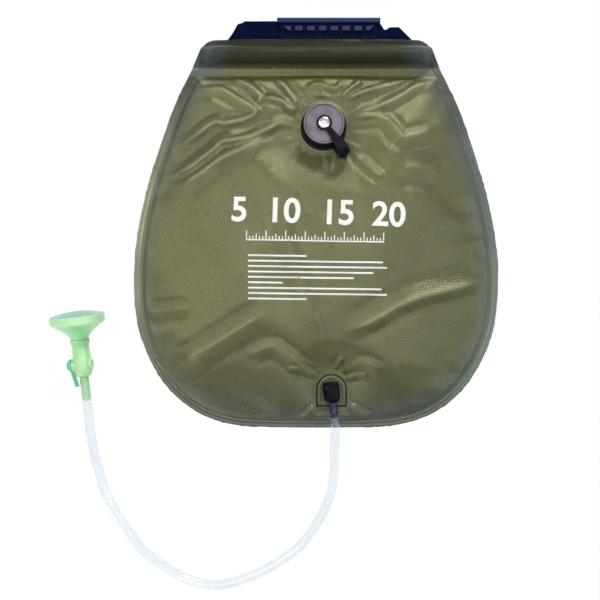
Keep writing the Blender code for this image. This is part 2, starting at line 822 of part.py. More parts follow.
def tether_path():
    """The tether's middle line as (reach, height, thickness, width), from the cap's top to its foot."""
    foot = COLLAR_TOP + GAP
    top = EYE_Z + GAP + TETHER_THICK / 2
    thick = TETHER_THICK
    end = TETHER_FOOT_REACH
    return [
        (0.006, top, thick, 0.010),
        (0.014, top, thick, 0.0112),
        (CAP_R - 0.002, top + 0.0012, thick, TETHER_WIDTH),
        (CAP_R + 0.006, top - 0.0005, thick * 1.3, TETHER_WIDTH),
        (end - 0.001, top - 0.0045, thick * 1.6, TETHER_WIDTH),
        (end + 0.003, top - 0.0105, thick * 2.0, TETHER_WIDTH),
        (end + 0.001, foot + TETHER_FOOT_HEIGHT, TETHER_FOOT_LENGTH * 0.7, TETHER_WIDTH),
        (end, foot + TETHER_FOOT_HEIGHT * 0.5, TETHER_FOOT_LENGTH, TETHER_WIDTH),
        (end, foot, TETHER_FOOT_LENGTH, TETHER_WIDTH),
    ]


def tether_section(station, direction):
    """Eight corners round one station of the tether, square to its run."""
    reach, height, thick, width = station
    normal = Vector((-direction.y, direction.x))
    half, side, soft = thick / 2, width / 2, min(thick, width) * 0.22
    corners = [(side, half - soft), (side - soft, half), (-side + soft, half), (-side, half - soft)]
    corners += [(-a, -b) for a, b in corners]
    return [(reach + normal.x * up, across, height + normal.y * up) for across, up in corners]


def cap_tether(finish):
    """The rubber tether: an eye under the rivet, a strip over the cap's edge and a foot pegged in the lug."""
    path = tether_path()
    rings = []
    for i, station in enumerate(path):
        before = path[max(i - 1, 0)]
        after = path[min(i + 1, len(path) - 1)]
        direction = Vector((after[0] - before[0], after[1] - before[1])).normalized()
        if i == len(path) - 1:
            direction = Vector((0.0, -1.0))
        rings.append(tether_section(station, direction))
    build = bmesh.new()
    skin_rings(build, rings)
    made = add_object("cap_tether", build, finish)
    inner = BUSH_R + GAP
    low = EYE_Z + GAP
    profile = [(inner, low), (TETHER_EYE_R, low), (TETHER_EYE_R, low + TETHER_THICK), (inner, low + TETHER_THICK)]
    eye = turned("eye", profile, None, 32)
    peg_low = COLLAR_Z + GAP
    peg = place(rod("peg", TETHER_PEG_R, peg_low, COLLAR_TOP + 0.002, steps=16), (TETHER_FOOT_REACH, 0.0, 0.0))
    bpy.context.view_layer.update()
    cut(made, rod("eye_room", inner, low - 0.01, low + 0.02, steps=32))
    join(made, eye, peg)
    return place(made, (FILLER.x, FILLER.y, 0.0), (0.0, 0.0, TETHER_ANGLE))


def patch_outline():
    """The outlet's flange seen from above: an arch with a straight tail, pointing up the bag."""
    arch = [(PATCH_R * cos(turn), PATCH_R * sin(turn)) for turn in np.linspace(0.0, pi, 17)]
    soft = PATCH_R * 0.18
    tail = [(-PATCH_R, -PATCH_TAIL + soft), (-PATCH_R + soft, -PATCH_TAIL)]
    tail += [(PATCH_R - soft, -PATCH_TAIL), (PATCH_R, -PATCH_TAIL + soft)]
    return arch + tail


def outlet_flange(finish):
    """The arched flange welded under the front film, with the spigot that the elbow sits on."""
    made = slab("outlet_flange", patch_outline(), PATCH_TOP - PATCH_THICK, PATCH_TOP, finish)
    join(made, rod("spigot", SPIGOT_R, PATCH_TOP - PATCH_THICK / 2, SPIGOT_TOP, steps=24))
    cut(made, rod("spigot_bore", SPIGOT_BORE_R, PATCH_TOP - 0.01, SPIGOT_TOP + 0.01, steps=16))
    return place(made, (OUTLET.x, OUTLET.y, 0.0))


def outlet_washer(finish):
    inner = SPIGOT_R + GAP
    profile = [
        (inner, WASHER_Z),
        (WASHER_R, WASHER_Z),
        (WASHER_R, WASHER_Z + WASHER_THICK),
        (inner, WASHER_Z + WASHER_THICK),
    ]
    return place(turned("outlet_washer", profile, finish, 24), (OUTLET.x, OUTLET.y, 0.0))


def barb_profile(length, bore, root, rings):
    """A hose barb along Z: its root at 0, its tip at length, with a saw tooth for each ring."""
    profile = [(bore, -root), (BARB_R, -root)]
    tooth = 0.0032
    for at in rings:
        profile += [(BARB_R, at), (BARB_R + BARB_RISE, at), (BARB_R, at + tooth)]
    return profile + [(BARB_R, length - 0.0008), (BARB_R - 0.0008, length), (bore, length)]


def outlet_elbow(finish):
    """The elbow: a round pot over the spigot, a barrel along the bag and a barb for the hose."""
    top = BARB_Z + ELBOW_TOP
    pot = [
        (0.0, ELBOW_Z),
        (ELBOW_R, ELBOW_Z),
        (ELBOW_R, top - 0.0035),
        (ELBOW_R * 0.93, top - 0.0012),
        (ELBOW_R * 0.72, top),
        (0.0, top),
    ]
    made = turned("outlet_elbow", pot, finish, 32)
    barrel = [
        (0.0, 0.0),
        (ELBOW_BARREL_R, 0.0),
        (ELBOW_BARREL_R * 0.98, ELBOW_REACH * 0.8),
        (ELBOW_BARREL_R * 0.86, ELBOW_REACH),
        (0.0, ELBOW_REACH),
    ]
    along = (0.0, pi / 2, 0.0)
    at = (0.0, 0.0, BARB_Z)
    start = (ELBOW_REACH, 0.0, BARB_Z)
    rings = (OUTLET_BARB * 0.18, OUTLET_BARB * 0.58)
    barb_shape = barb_profile(OUTLET_BARB, 0.0, ELBOW_REACH * 0.4, rings)
    barb = place(turned("barb", barb_shape, None, 24), start, along)
    barrel_solid = place(turned("barrel", barrel, None, 32), at, along)
    socket_top = SPIGOT_TOP + GAP
    socket = rod("socket", SPIGOT_R + GAP, ELBOW_Z - 0.01, socket_top, steps=24)
    bore = place(rod("bore", BARB_BORE_R, 0.0, ELBOW_REACH + OUTLET_BARB + 0.01, steps=16), at, along)
    bpy.context.view_layer.update()
    join(made, barrel_solid, barb)
    cut(made, socket, bore)
    return place(made, (OUTLET.x, OUTLET.y, 0.0), (0.0, 0.0, OUTLET_ANGLE))


def hose_cuff(name, length, finish):
    """The stretch of hose pushed over a barb, with its real bore, along Z."""
    profile = [(HOSE_BORE_R, GAP), (HOSE_R, GAP), (HOSE_R, length), (HOSE_BORE_R, length)]
    return turned(name, profile, finish, 24)


def hose(finish):
    """The free hose, from the tip of the outlet's barb to the tip of the hand shower's."""
    run = Vector((cos(OUTLET_ANGLE), sin(OUTLET_ANGLE)))
    first = (HOSE_START.x, HOSE_START.y, BARB_Z)
    leave = HOSE_START + run * HOSE_R * 2
    away = handset_axis()
    end = handset_point(0.0, 0.0, -GAP)
    route = [first, (leave.x, leave.y, BARB_Z), *HOSE_ROUTE, tuple(end - away * HOSE_R * 2), tuple(end)]
    fine = smooth_curve(route, 12)
    lengths = np.concatenate([[0.0], np.cumsum(np.linalg.norm(np.diff(fine, axis=0), axis=1))])
    places = np.linspace(0.0, lengths[-1], HOSE_POINTS)
    points = np.stack([np.interp(places, lengths, fine[:, i]) for i in range(3)], axis=1)
    print(f"hose: {lengths[-1]:.4f} m of free hose")
    curve = bpy.data.curves.new("hose", "CURVE")
    curve.dimensions = "3D"
    curve.bevel_depth = HOSE_R
    curve.bevel_resolution = 2
    curve.use_fill_caps = True
    line = curve.splines.new("POLY")
    line.points.add(HOSE_POINTS - 1)
    for point, place_at in zip(line.points, points):
        point.co = (*place_at, 1.0)
    curve.materials.append(finish)
    made = bpy.data.objects.new("hose", curve)
    bpy.context.scene.collection.objects.link(made)
    return made


def handset_axis():
    """The direction of the hand shower's axis, from tail to spray plate."""
    flat = cos(HANDSET_RISE)
    return Vector((-sin(HANDSET_TURN) * flat, cos(HANDSET_TURN) * flat, sin(HANDSET_RISE)))


def handset_turn():
    return (-(pi / 2 - HANDSET_RISE), 0.0, HANDSET_TURN)


def handset_point(x, y, along):
    """A point of the hand shower's own frame in the bag's frame."""
    across = Vector((cos(HANDSET_TURN), sin(HANDSET_TURN), 0.0))
    axis = handset_axis()
    down = axis.cross(across)
    origin = Vector((HANDSET_TIP.x, HANDSET_TIP.y, HANDSET_Z))
    return origin + across * x + down * y + axis * along


def handset_body(finish, frame):
    """The handle of the hand shower: tail barb, valve body with its boss, waist, bead and front spigot."""
    rings = (TAIL_BARB * 0.58, TAIL_BARB * 0.72, TAIL_BARB * 0.86)
    barb = [(BARB_R, TAIL_BARB)]
    for at in rings:
        barb += [(BARB_R, at + 0.002), (BARB_R + BARB_RISE, at + 0.002), (BARB_R, at - 0.001)]
    ordered = sorted(barb[1:], key=lambda point: -point[1])
    profile = [
        (0.0, 0.0),
        (BARB_R - 0.0006, 0.0),
        (BARB_R, 0.0008),
        *reversed(ordered),
        (BARB_R, TAIL_BARB),
        (BODY_TAIL_R - 0.0008, TAIL_BARB),
        (BODY_TAIL_R, TAIL_BARB + 0.0008),
        (BODY_R * 0.97, VALVE_AT - 0.007),
        (BODY_R, VALVE_AT - 0.002),
        (BODY_R, VALVE_AT + 0.003),
        (BODY_R * 0.97, VALVE_AT + 0.010),
        (BODY_NECK_R, COLLAR_AT - 0.006),
        (BODY_NECK_R, COLLAR_AT),
        (BEAD_R - 0.0006, COLLAR_AT + 0.0004),
        (BEAD_R, COLLAR_AT + 0.0018),
        (BEAD_R, BELL_AT - GAP - 0.0018),
        (BEAD_R - 0.0006, BELL_AT - GAP),
        (FRONT_SPIGOT_R, BELL_AT - GAP),
        (FRONT_SPIGOT_R, BELL_AT + FRONT_SPIGOT),
        (0.0, BELL_AT + FRONT_SPIGOT),
    ]
    made = turned("handset_body", profile, finish, 32)
    across = (0.0, pi / 2, 0.0)
    at = (0.0, 0.0, VALVE_AT)
    left_boss = place(rod("left_boss", VALVE_BOSS_R, -VALVE_BOSS_OUT, 0.0, steps=32), at, across)
    right_boss = place(rod("right_boss", VALVE_BOSS_R * 0.85, 0.0, VALVE_BOSS_OUT, steps=32), at, across)
    out = VALVE_BOSS_OUT
    plug_bore = place(rod("plug_bore", PLUG_R + GAP, -out - 0.01, out - 0.0035, steps=32), at, across)
    screw_bore = place(rod("screw_bore", RETAINER_R + GAP, 0.0, out + 0.01, steps=24), at, across)
    waterway = rod("waterway", BARB_BORE_R, -0.01, VALVE_AT, steps=16)
    front_way = rod("front_way", WATERWAY_R, VALVE_AT, BELL_AT + FRONT_SPIGOT + 0.01, steps=16)
    bpy.context.view_layer.update()
    join(made, left_boss, right_boss)
    cut(made, waterway, front_way, plug_bore, screw_bore)
    return place(made, parent=frame)


def rose_bell(finish, frame):
    """The bell: a neck over the front spigot, a flared wall and a plain rim with a ledge for the plate."""
    wall = BELL_WALL
    flare = [
        (BELL_NECK_R, BELL_AT),
        (BELL_NECK_R + 0.0004, BELL_AT + 0.0022),
        (0.0126, BELL_AT + 0.0050),
        (0.0166, BELL_AT + 0.0092),
        (0.0215, RIM_AT - 0.0068),
        (0.0265, RIM_AT - 0.0036),
        (ROSE_R - 0.0016, RIM_AT - 0.0004),
        (ROSE_R, RIM_AT + 0.0008),
        (ROSE_R, PLATE_EDGE_AT - 0.0005),
        (ROSE_R - 0.0005, PLATE_EDGE_AT),
    ]
    neck = FRONT_SPIGOT_R + GAP
    shoulder = BELL_AT + FRONT_SPIGOT + GAP * 2 + SEAL_THICK
    seat_r = ROSE_R - wall
    inside = [
        (seat_r, PLATE_EDGE_AT),
        (seat_r, PLATE_EDGE_AT - PLATE_SEAT),
        (seat_r - 0.0020, PLATE_EDGE_AT - PLATE_SEAT),
        (seat_r - 0.0020, RIM_AT + 0.0018),
        (0.0240, RIM_AT - 0.0018),
        (0.0190, RIM_AT - 0.0052),
        (0.0140, shoulder + 0.0024),
        (0.0066, shoulder + 0.0014),
        (0.0066, shoulder),
        (neck, shoulder),
        (neck, BELL_AT),
    ]
    return place(turned("rose_bell", flare + inside, finish, 36), parent=frame)


def rose_seal(finish, frame):
    low = BELL_AT + FRONT_SPIGOT + GAP
    profile = [
        (0.0062, low),
        (FRONT_SPIGOT_R, low),
        (FRONT_SPIGOT_R, low + SEAL_THICK),
        (0.0062, low + SEAL_THICK),
    ]
    return place(turned("rose_seal", profile, finish, 24), parent=frame)


def spray_plate(finish, frame):
    """The domed plate in the bell's rim, pierced with rings of spray holes."""
    edge = ROSE_R - BELL_WALL - GAP
    base = PLATE_EDGE_AT - PLATE_SEAT + GAP
    rise = [(edge * share, PLATE_EDGE_AT + PLATE_DOME * (1 - share**2)) for share in (0.0, 0.3, 0.55, 0.8, 1.0)]
    ledge = edge - 0.0030
    under = [(r, z - PLATE_THICK) for r, z in rise if r < ledge]
    profile = rise + [(edge, base), (ledge, base)] + list(reversed(under))
    made = turned("spray_plate", profile, finish, 36)
    build = bmesh.new()
    for ring in range(SPRAY_RINGS + 1):
        count = max(6 * ring, 1)
        for i in range(count):
            turn = 2 * pi * i / count
            reach = edge * 0.78 * ring / SPRAY_RINGS
            centre = Matrix.Translation((reach * cos(turn), reach * sin(turn), PLATE_EDGE_AT + PLATE_DOME / 2))
            bmesh.ops.create_cone(
                build, cap_ends=True, segments=6, radius1=SPRAY_HOLE_R, radius2=SPRAY_HOLE_R, depth=0.02, matrix=centre
            )
    cut(made, add_object("spray_holes", build, None))
    return place(made, parent=frame)


def tap_plug(finish, tap):
    """The valve's plug across the body: two seal grooves, a cross bore and a stub for the lever's knob."""
    groove = PLUG_R - PLUG_RING_DEPTH
    left = -VALVE_BOSS_OUT + 0.0005
    right = VALVE_BOSS_OUT - 0.0035 - GAP
    wide = 0.0016
    profile = [
        (0.0, left - 0.0045),
        (PLUG_STUB_R, left - 0.0045),
        (PLUG_STUB_R, left),
        (PLUG_R, left),
        (PLUG_R, left + 0.0020),
        (groove, left + 0.0020),
        (groove, left + 0.0020 + wide),
        (PLUG_R, left + 0.0020 + wide),
        (PLUG_R, right - 0.0012 - wide),
        (groove, right - 0.0012 - wide),
        (groove, right - 0.0012),
        (PLUG_R, right - 0.0012),
        (PLUG_R, right),
        (0.0, right),
    ]
    made = turned("tap_plug", profile, finish, 24)
    cross = place(rod("cross_bore", BARB_BORE_R, -0.01, 0.01, steps=16), rotation=(0.0, pi / 2, 0.0))
    bpy.context.view_layer.update()
    cut(made, cross)
    return place(made, rotation=(0.0, pi / 2, 0.0), parent=tap)


def tap_seal(name, low, finish, tap):
    """One ring in its groove on the plug."""
    inner = PLUG_R - PLUG_RING_DEPTH + 0.0002
    outer = PLUG_R + 0.0001
    profile = [(inner, low), (outer, low), (outer, low + 0.0011), (inner, low + 0.0011)]
    return place(turned(name, profile, finish, 24), rotation=(0.0, pi / 2, 0.0), parent=tap)


def tap_retainer(finish, tap):
    """The flat screw that holds the plug in from the other side. It turns with the plug."""
    out = VALVE_BOSS_OUT
    low = out - 0.0035
    profile = [
        (0.0, low),
        (RETAINER_R, low),
        (RETAINER_R, low + RETAINER_THICK),
        (RETAINER_R * 0.7, low + RETAINER_THICK + 0.0006),
        (0.0, low + RETAINER_THICK + 0.0006),
    ]
    made = turned("tap_retainer", profile, finish, 24)
    half = RETAINER_R * 0.62
    slot = block("slot", (-half, -0.0005, low + RETAINER_THICK * 0.6), (half, 0.0005, low + 0.01))
    cut(made, slot)
    return place(made, rotation=(0.0, pi / 2, 0.0), parent=tap)


def tap_lever(finish, tap):
    """The lever: a domed knob on the plug's stub and a blade that leans in along the tail."""
    base = VALVE_BOSS_OUT + GAP
    rings = [(KNOB_R * cos(turn), base + 0.0010 + KNOB_RISE * sin(turn)) for turn in np.linspace(0, pi / 2, 6)]
    profile = [(0.0, base), (KNOB_R - 0.0004, base), *rings[:-1], (0.0, base + 0.0010 + KNOB_RISE)]
    made = turned("tap_lever", profile, finish, 32)
    place(made, rotation=(0.0, -pi / 2, 0.0))
    inner = -base
    outer = -(base + LEVER_THICK)
    rings = []
    past_boss = (VALVE_BOSS_R + GAP) / LEVER_LENGTH
    for share in (0.0, past_boss, (past_boss + 1.0) / 2, 1.0):
        lean = LEVER_LEAN * max(share - past_boss, 0.0) / (1.0 - past_boss)
        half = LEVER_WIDTH / 2 * (1.0 - 0.25 * share)
        z = -LEVER_LENGTH * share
        soft = 0.0006
        x0, x1 = inner + lean, outer + lean * 0.8
        ring = [(x0, -half), (x0, half), (x1 + soft, half), (x1, half - soft), (x1, -half + soft), (x1 + soft, -half)]
        rings.append([(x, y, z) for x, y in ring])
    build = bmesh.new()
    skin_rings(build, rings)
    blade = add_object("blade", build, None)
    socket = place(rod("stub_socket", PLUG_STUB_R + GAP, 0.0, base + 0.0045, steps=16), rotation=(0.0, -pi / 2, 0.0))
    bpy.context.view_layer.update()
    join(made, blade)
    cut(made, socket)
    return place(made, rotation=(0.0, -pi / 2, 0.0), parent=tap)


def finishes():
    """The colours and surfaces of the photographed pieces."""
    return {
        "film": material("olive_film", (0.165, 0.155, 0.085), 0.38),
        "back": material("black_film", (0.02, 0.02, 0.02), 0.45),
        "tube": material("white_tube", (0.75, 0.75, 0.72), 0.4),
        "webbing": material("navy_webbing", (0.004, 0.008, 0.035), 0.8),
        "grip": material("navy_grip", (0.012, 0.025, 0.085), 0.4),
        "black": material("black_plastic", (0.018, 0.015, 0.02), 0.35),
        "rubber": material("black_rubber", (0.01, 0.008, 0.01), 0.6),
        "bright": material("bright_metal", (0.8, 0.8, 0.82), 0.15, 1.0),
        "clear": material("clear_hose", (0.85, 0.91, 0.95), 0.08),
        "green": material("pale_green", (0.38, 0.72, 0.34), 0.35),
        "tap": material("tap_green", (0.16, 0.58, 0.40), 0.35),
    }


def build_bag(kinds):
    front_film(kinds["film"])
    back_film(kinds["back"])
    hanging_tube(kinds["tube"])


def build_handle(kinds):
    pivot = empty("handle_pivot", (HANDLE_X, TUBE_Y, TUBE_Z))
    slider = empty("grip_slider", (GRIP_X - HANDLE_X, 0.0, 0.0), parent=pivot)
    handle_strap(kinds["webbing"], pivot)
    handle_grip(kinds["grip"], slider)
    grip_rail(kinds["grip"], slider)


def build_filler(kinds):
    hub = empty("cap_hub", (FILLER.x, FILLER.y, 0.0))
    filler_neck(kinds["black"])
    neck_collar(kinds["rubber"])
    filler_cap(kinds["black"], hub)
    cap_gasket(kinds["rubber"], hub)
    tether_bush(kinds["bright"], hub)
    tether_rivet(kinds["bright"], hub)
    cap_tether(kinds["rubber"])


def build_outlet(kinds):
    outlet_flange(kinds["film"])
    outlet_washer(kinds["rubber"])
    outlet_elbow(kinds["black"])
    cuff = hose_cuff("hose_cuff_outlet", OUTLET_BARB, kinds["clear"])
    run = Vector((cos(OUTLET_ANGLE), sin(OUTLET_ANGLE)))
    start = OUTLET + run * ELBOW_REACH
    place(cuff, (start.x, start.y, BARB_Z), (0.0, pi / 2, OUTLET_ANGLE))


def build_handset(kinds):
    frame = empty("handset_frame", (HANDSET_TIP.x, HANDSET_TIP.y, HANDSET_Z), handset_turn())
    tap = empty("tap_axis", (0.0, 0.0, VALVE_AT), parent=frame)
    handset_body(kinds["green"], frame)
    rose_bell(kinds["green"], frame)
    rose_seal(kinds["rubber"], frame)
    spray_plate(kinds["green"], frame)
    tap_plug(kinds["tap"], tap)
    left = -VALVE_BOSS_OUT + 0.0005
    right = VALVE_BOSS_OUT - 0.0035 - GAP
    tap_seal("tap_seal_lever_side", left + 0.00225, kinds["rubber"], tap)
    tap_seal("tap_seal_screw_side", right - 0.0012 - 0.00135, kinds["rubber"], tap)
    tap_retainer(kinds["bright"], tap)
    tap_lever(kinds["tap"], tap)
    cuff = hose_cuff("hose_cuff_handset", TAIL_BARB - GAP, kinds["clear"])
    place(cuff, parent=frame)


def main():
    clear_scene()
    kinds = finishes()
    build_bag(kinds)
    build_handle(kinds)
    build_filler(kinds)
    build_outlet(kinds)
    build_handset(kinds)
    hose(kinds["clear"])
    bpy.context.view_layer.update()
    pivot = handset_point(0.0, 0.0, VALVE_AT)
    print("tap axis at", tuple(round(value, 6) for value in pivot))
    print("tap axis along", (-cos(HANDSET_TURN), -sin(HANDSET_TURN), 0.0))
    print("handset rise and turn in degrees", degrees(HANDSET_RISE), degrees(HANDSET_TURN), tan(HANDSET_RISE))


main()
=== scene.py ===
"""The camp shower bag as it is seen: camera, light, and each piece's finished shape and surface.

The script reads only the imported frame. Sizes are in metres in the frame of the CAD model, where the
bag lies on its back on z = 0 and +Y is towards its carrying handle.
"""

from math import acos, atan2, ceil, cos, pi, radians, sin

import bmesh
import bpy
import numpy as np
from bpy.props import FloatProperty, FloatVectorProperty, PointerProperty
from mathutils import Matrix, Vector, geometry, kdtree
from mathutils.bvhtree import BVHTree


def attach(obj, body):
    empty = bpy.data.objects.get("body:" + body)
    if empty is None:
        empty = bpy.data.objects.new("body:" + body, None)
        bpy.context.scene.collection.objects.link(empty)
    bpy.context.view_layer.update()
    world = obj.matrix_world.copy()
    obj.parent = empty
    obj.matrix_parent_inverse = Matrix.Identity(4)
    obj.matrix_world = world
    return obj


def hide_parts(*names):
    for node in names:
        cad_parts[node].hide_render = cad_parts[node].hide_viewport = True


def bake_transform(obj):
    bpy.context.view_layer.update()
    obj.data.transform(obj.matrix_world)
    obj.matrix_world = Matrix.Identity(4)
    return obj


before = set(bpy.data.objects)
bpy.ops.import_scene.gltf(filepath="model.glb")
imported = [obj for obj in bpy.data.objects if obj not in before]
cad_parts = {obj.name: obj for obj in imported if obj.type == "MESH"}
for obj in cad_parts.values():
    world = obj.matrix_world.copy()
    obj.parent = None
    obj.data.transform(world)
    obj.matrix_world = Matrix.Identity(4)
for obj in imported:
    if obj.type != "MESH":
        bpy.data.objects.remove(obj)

bl_info = {
    "name": "Camp shower bag",
    "version": (1, 0, 0),
    "blender": (4, 5, 0),
    "location": "View3D > Sidebar > Shower bag",
    "description": "Builds the pieces of a camp shower bag round its packed frame",
    "category": "Object",
}

# The photograph's view, straight down on the bag
CAMERA_OVER = Vector((-0.020, -0.0844))
CAMERA_HEIGHT = 0.900
VIEW_WIDTH = 0.750
SENSOR = 36.0
WHITE = (1.0, 1.0, 1.0, 1.0)

# Films, as in the CAD model
GAP = 0.0003
FILM = 0.0008
WELD_GAP = 0.00006
RIM_WELD = 0.008
CROWN = 0.024
CROWN_REACH = 0.150
CROWN_FULLNESS = 0.8
TOP_WELD_Y = 0.195
WELD_LINES_Y = (0.2042, 0.1972)
BAG_TOP = 0.2385
BAG_BOTTOM = -0.2435
FLAP_START_Y = 0.2311
FLAP_END_Y = BAG_TOP - 0.0004
FLAP_Z = 0.0067
FLAP_EDGE_Z = 0.0012
OUTLINE = [
    (0.0, 0.2385), (0.060, 0.2385), (0.118, 0.2385), (0.133, 0.2365), (0.1415, 0.2295), (0.147, 0.219),
    (0.157, 0.198), (0.176, 0.158), (0.1925, 0.113), (0.208, 0.063), (0.220, 0.013), (0.2265, -0.040),
    (0.226, -0.087), (0.219, -0.127), (0.203, -0.167), (0.177, -0.202), (0.143, -0.227), (0.103, -0.2395),
    (0.055, -0.243), (0.0, -0.2435),
]
OUTLINE_STEPS = 5
TUBE_Y = 0.217
TUBE_Z = 0.0109
TUBE_LENGTH = 0.236
SLEEVE_R = 0.0111
SLEEVE_END_ROOM = 0.004
SLEEVE_TAPER = 0.028
SLEEVE_END_RISE = 0.1
WEAVE_SLANT = radians(36.0)

# The hem's columns of points lie at the same places at every height, up to this share of the columns
HEM_SHARE = 0.7
HEM_REST = 0.3
HEM_STEADY = 0.1165

# Handle
HANDLE_X = 0.0015
LEG_SPREAD = 0.100
STRAP_WIDTH = 0.025
STRAP_THICK = 0.0015
STRAP_MID_Z = 0.00315
STRAP_Y = 0.2501
STRAP_FOLD_R = 0.0009
CORNER_SHIFT = {-1: 0.0035, 1: 0.0075}
LOOP_R = 0.01005
NOTCH_HALF = 0.014
NOTCH_REACH = 0.0123
GRIP_X = 0.0155
GRIP_TOP = 0.0062
WINDOW_COUNT = 8
WINDOW_PITCH = 0.0147
WINDOW_WIDTH = 0.011
WINDOW_HEIGHT = 0.0125
WINDOW_SLANT = 0.004
PAD_SLOPE = 0.06

# Filler and its cap
FILLER = Vector((0.0088, 0.127))
AT_FILLER = Matrix.Translation((FILLER.x, FILLER.y, 0.0))
FILLER_FILM_Z = 0.016
FILLER_FLAT = 0.036
FILLER_BLEND = 0.062
FILLER_HOLE_R = 0.0216
FLANGE_R = 0.0305
NECK_R = 0.0201
NECK_BORE_R = 0.0165
BOSS_R = 0.0209
COLLAR_TOP = 0.0196
NECK_TOP = 0.0352
CAP_R = 0.0246
CAP_BORE_R = 0.0211
CAP_BOTTOM_Z = 0.0199
CAP_CEILING = 0.0370
CAP_TOP_Z = 0.0400
CAP_RIBS = 48
CAP_PITCH = 0.004
EYE_Z = 0.0403
RIVET_Z = 0.0434
RIVET_R = 0.0067
RIVET_HEAD = 0.0016
SHANK_R = 0.0026
BUSH_R = 0.0041
TETHER_THICK = 0.0022
TETHER_EYE_R = 0.0092
TETHER_ANGLE = radians(-53.5)
TETHER_FOOT = 0.040
PEG_R = 0.0022

# Outlet
OUTLET = Vector((0.0190, -0.1950))
OUTLET_ANGLE = radians(-84.5)
OUTLET_FILM_Z = 0.0075
OUTLET_FLAT = 0.0235
OUTLET_BLEND = 0.040
OUTLET_HOLE_R = 0.0066
PATCH_R = 0.0178
PATCH_TAIL = 0.0205
BARB_Z = 0.0184
ELBOW_Z = 0.0101
ELBOW_REACH = 0.0150
OUTLET_BARB = 0.0190
BARB_R = 0.0036
BARB_BORE_R = 0.0024
BARB_RISE = 0.0005

# Hand shower and hose
HANDSET_TIP = Vector((-0.2796, -0.2063, 0.0223889))
HANDSET_TURN = radians(5.0)
HANDSET_RISE = radians(6.0)
BELL_RIM = 0.0925
TAIL_BARB = 0.0305
HOSE_R = 0.0055
HOSE_BORE_R = 0.0044
GRIPPED_BORE_R = 0.00352
HOSE_SIDES = 40
HOSE_ROUTE = [
    (0.0228, -0.2460, 0.0172), (0.0226, -0.2580, 0.0144), (0.0227, -0.2790, 0.0086),
    (0.0216, -0.3016, 0.0058), (0.0187, -0.3215, 0.0058), (0.0100, -0.3455, 0.0058),
    (-0.0045, -0.3701, 0.0058), (-0.0256, -0.3950, 0.0058), (-0.0647, -0.4198, 0.0058),
    (-0.1030, -0.4348, 0.0058), (-0.1290, -0.4378, 0.0058), (-0.1566, -0.4318, 0.0058),
    (-0.1810, -0.4200, 0.0058), (-0.2137, -0.3955, 0.0060), (-0.2335, -0.3700, 0.0066),
    (-0.2491, -0.3448, 0.0078), (-0.2610, -0.3195, 0.0100), (-0.2680, -0.2942, 0.0130),
    (-0.2730, -0.2689, 0.0164), (-0.2768, -0.2438, 0.0193),
]

# Printing: the numbers and where they stand, the scale and the length of each rule
NUMERALS = (("5", -0.094), ("10", -0.040), ("15", 0.026), ("20", 0.088))
NUMERAL_SIZE = 0.0415
SCALE_LEFT = -0.0857
SCALE_LENGTH = 0.1679
SCALE_TICKS = 43
TICK_WIDTH = 0.0014
RULES = (0.42, 0.97, 1.0, 0.90, 0.76, 0.25, 0.96, 1.0, 0.42)
RULE_LEFT = -0.0832
RULE_LENGTH = 0.169
RULE_PITCH = 0.00655
INK_LIFT = 0.00016

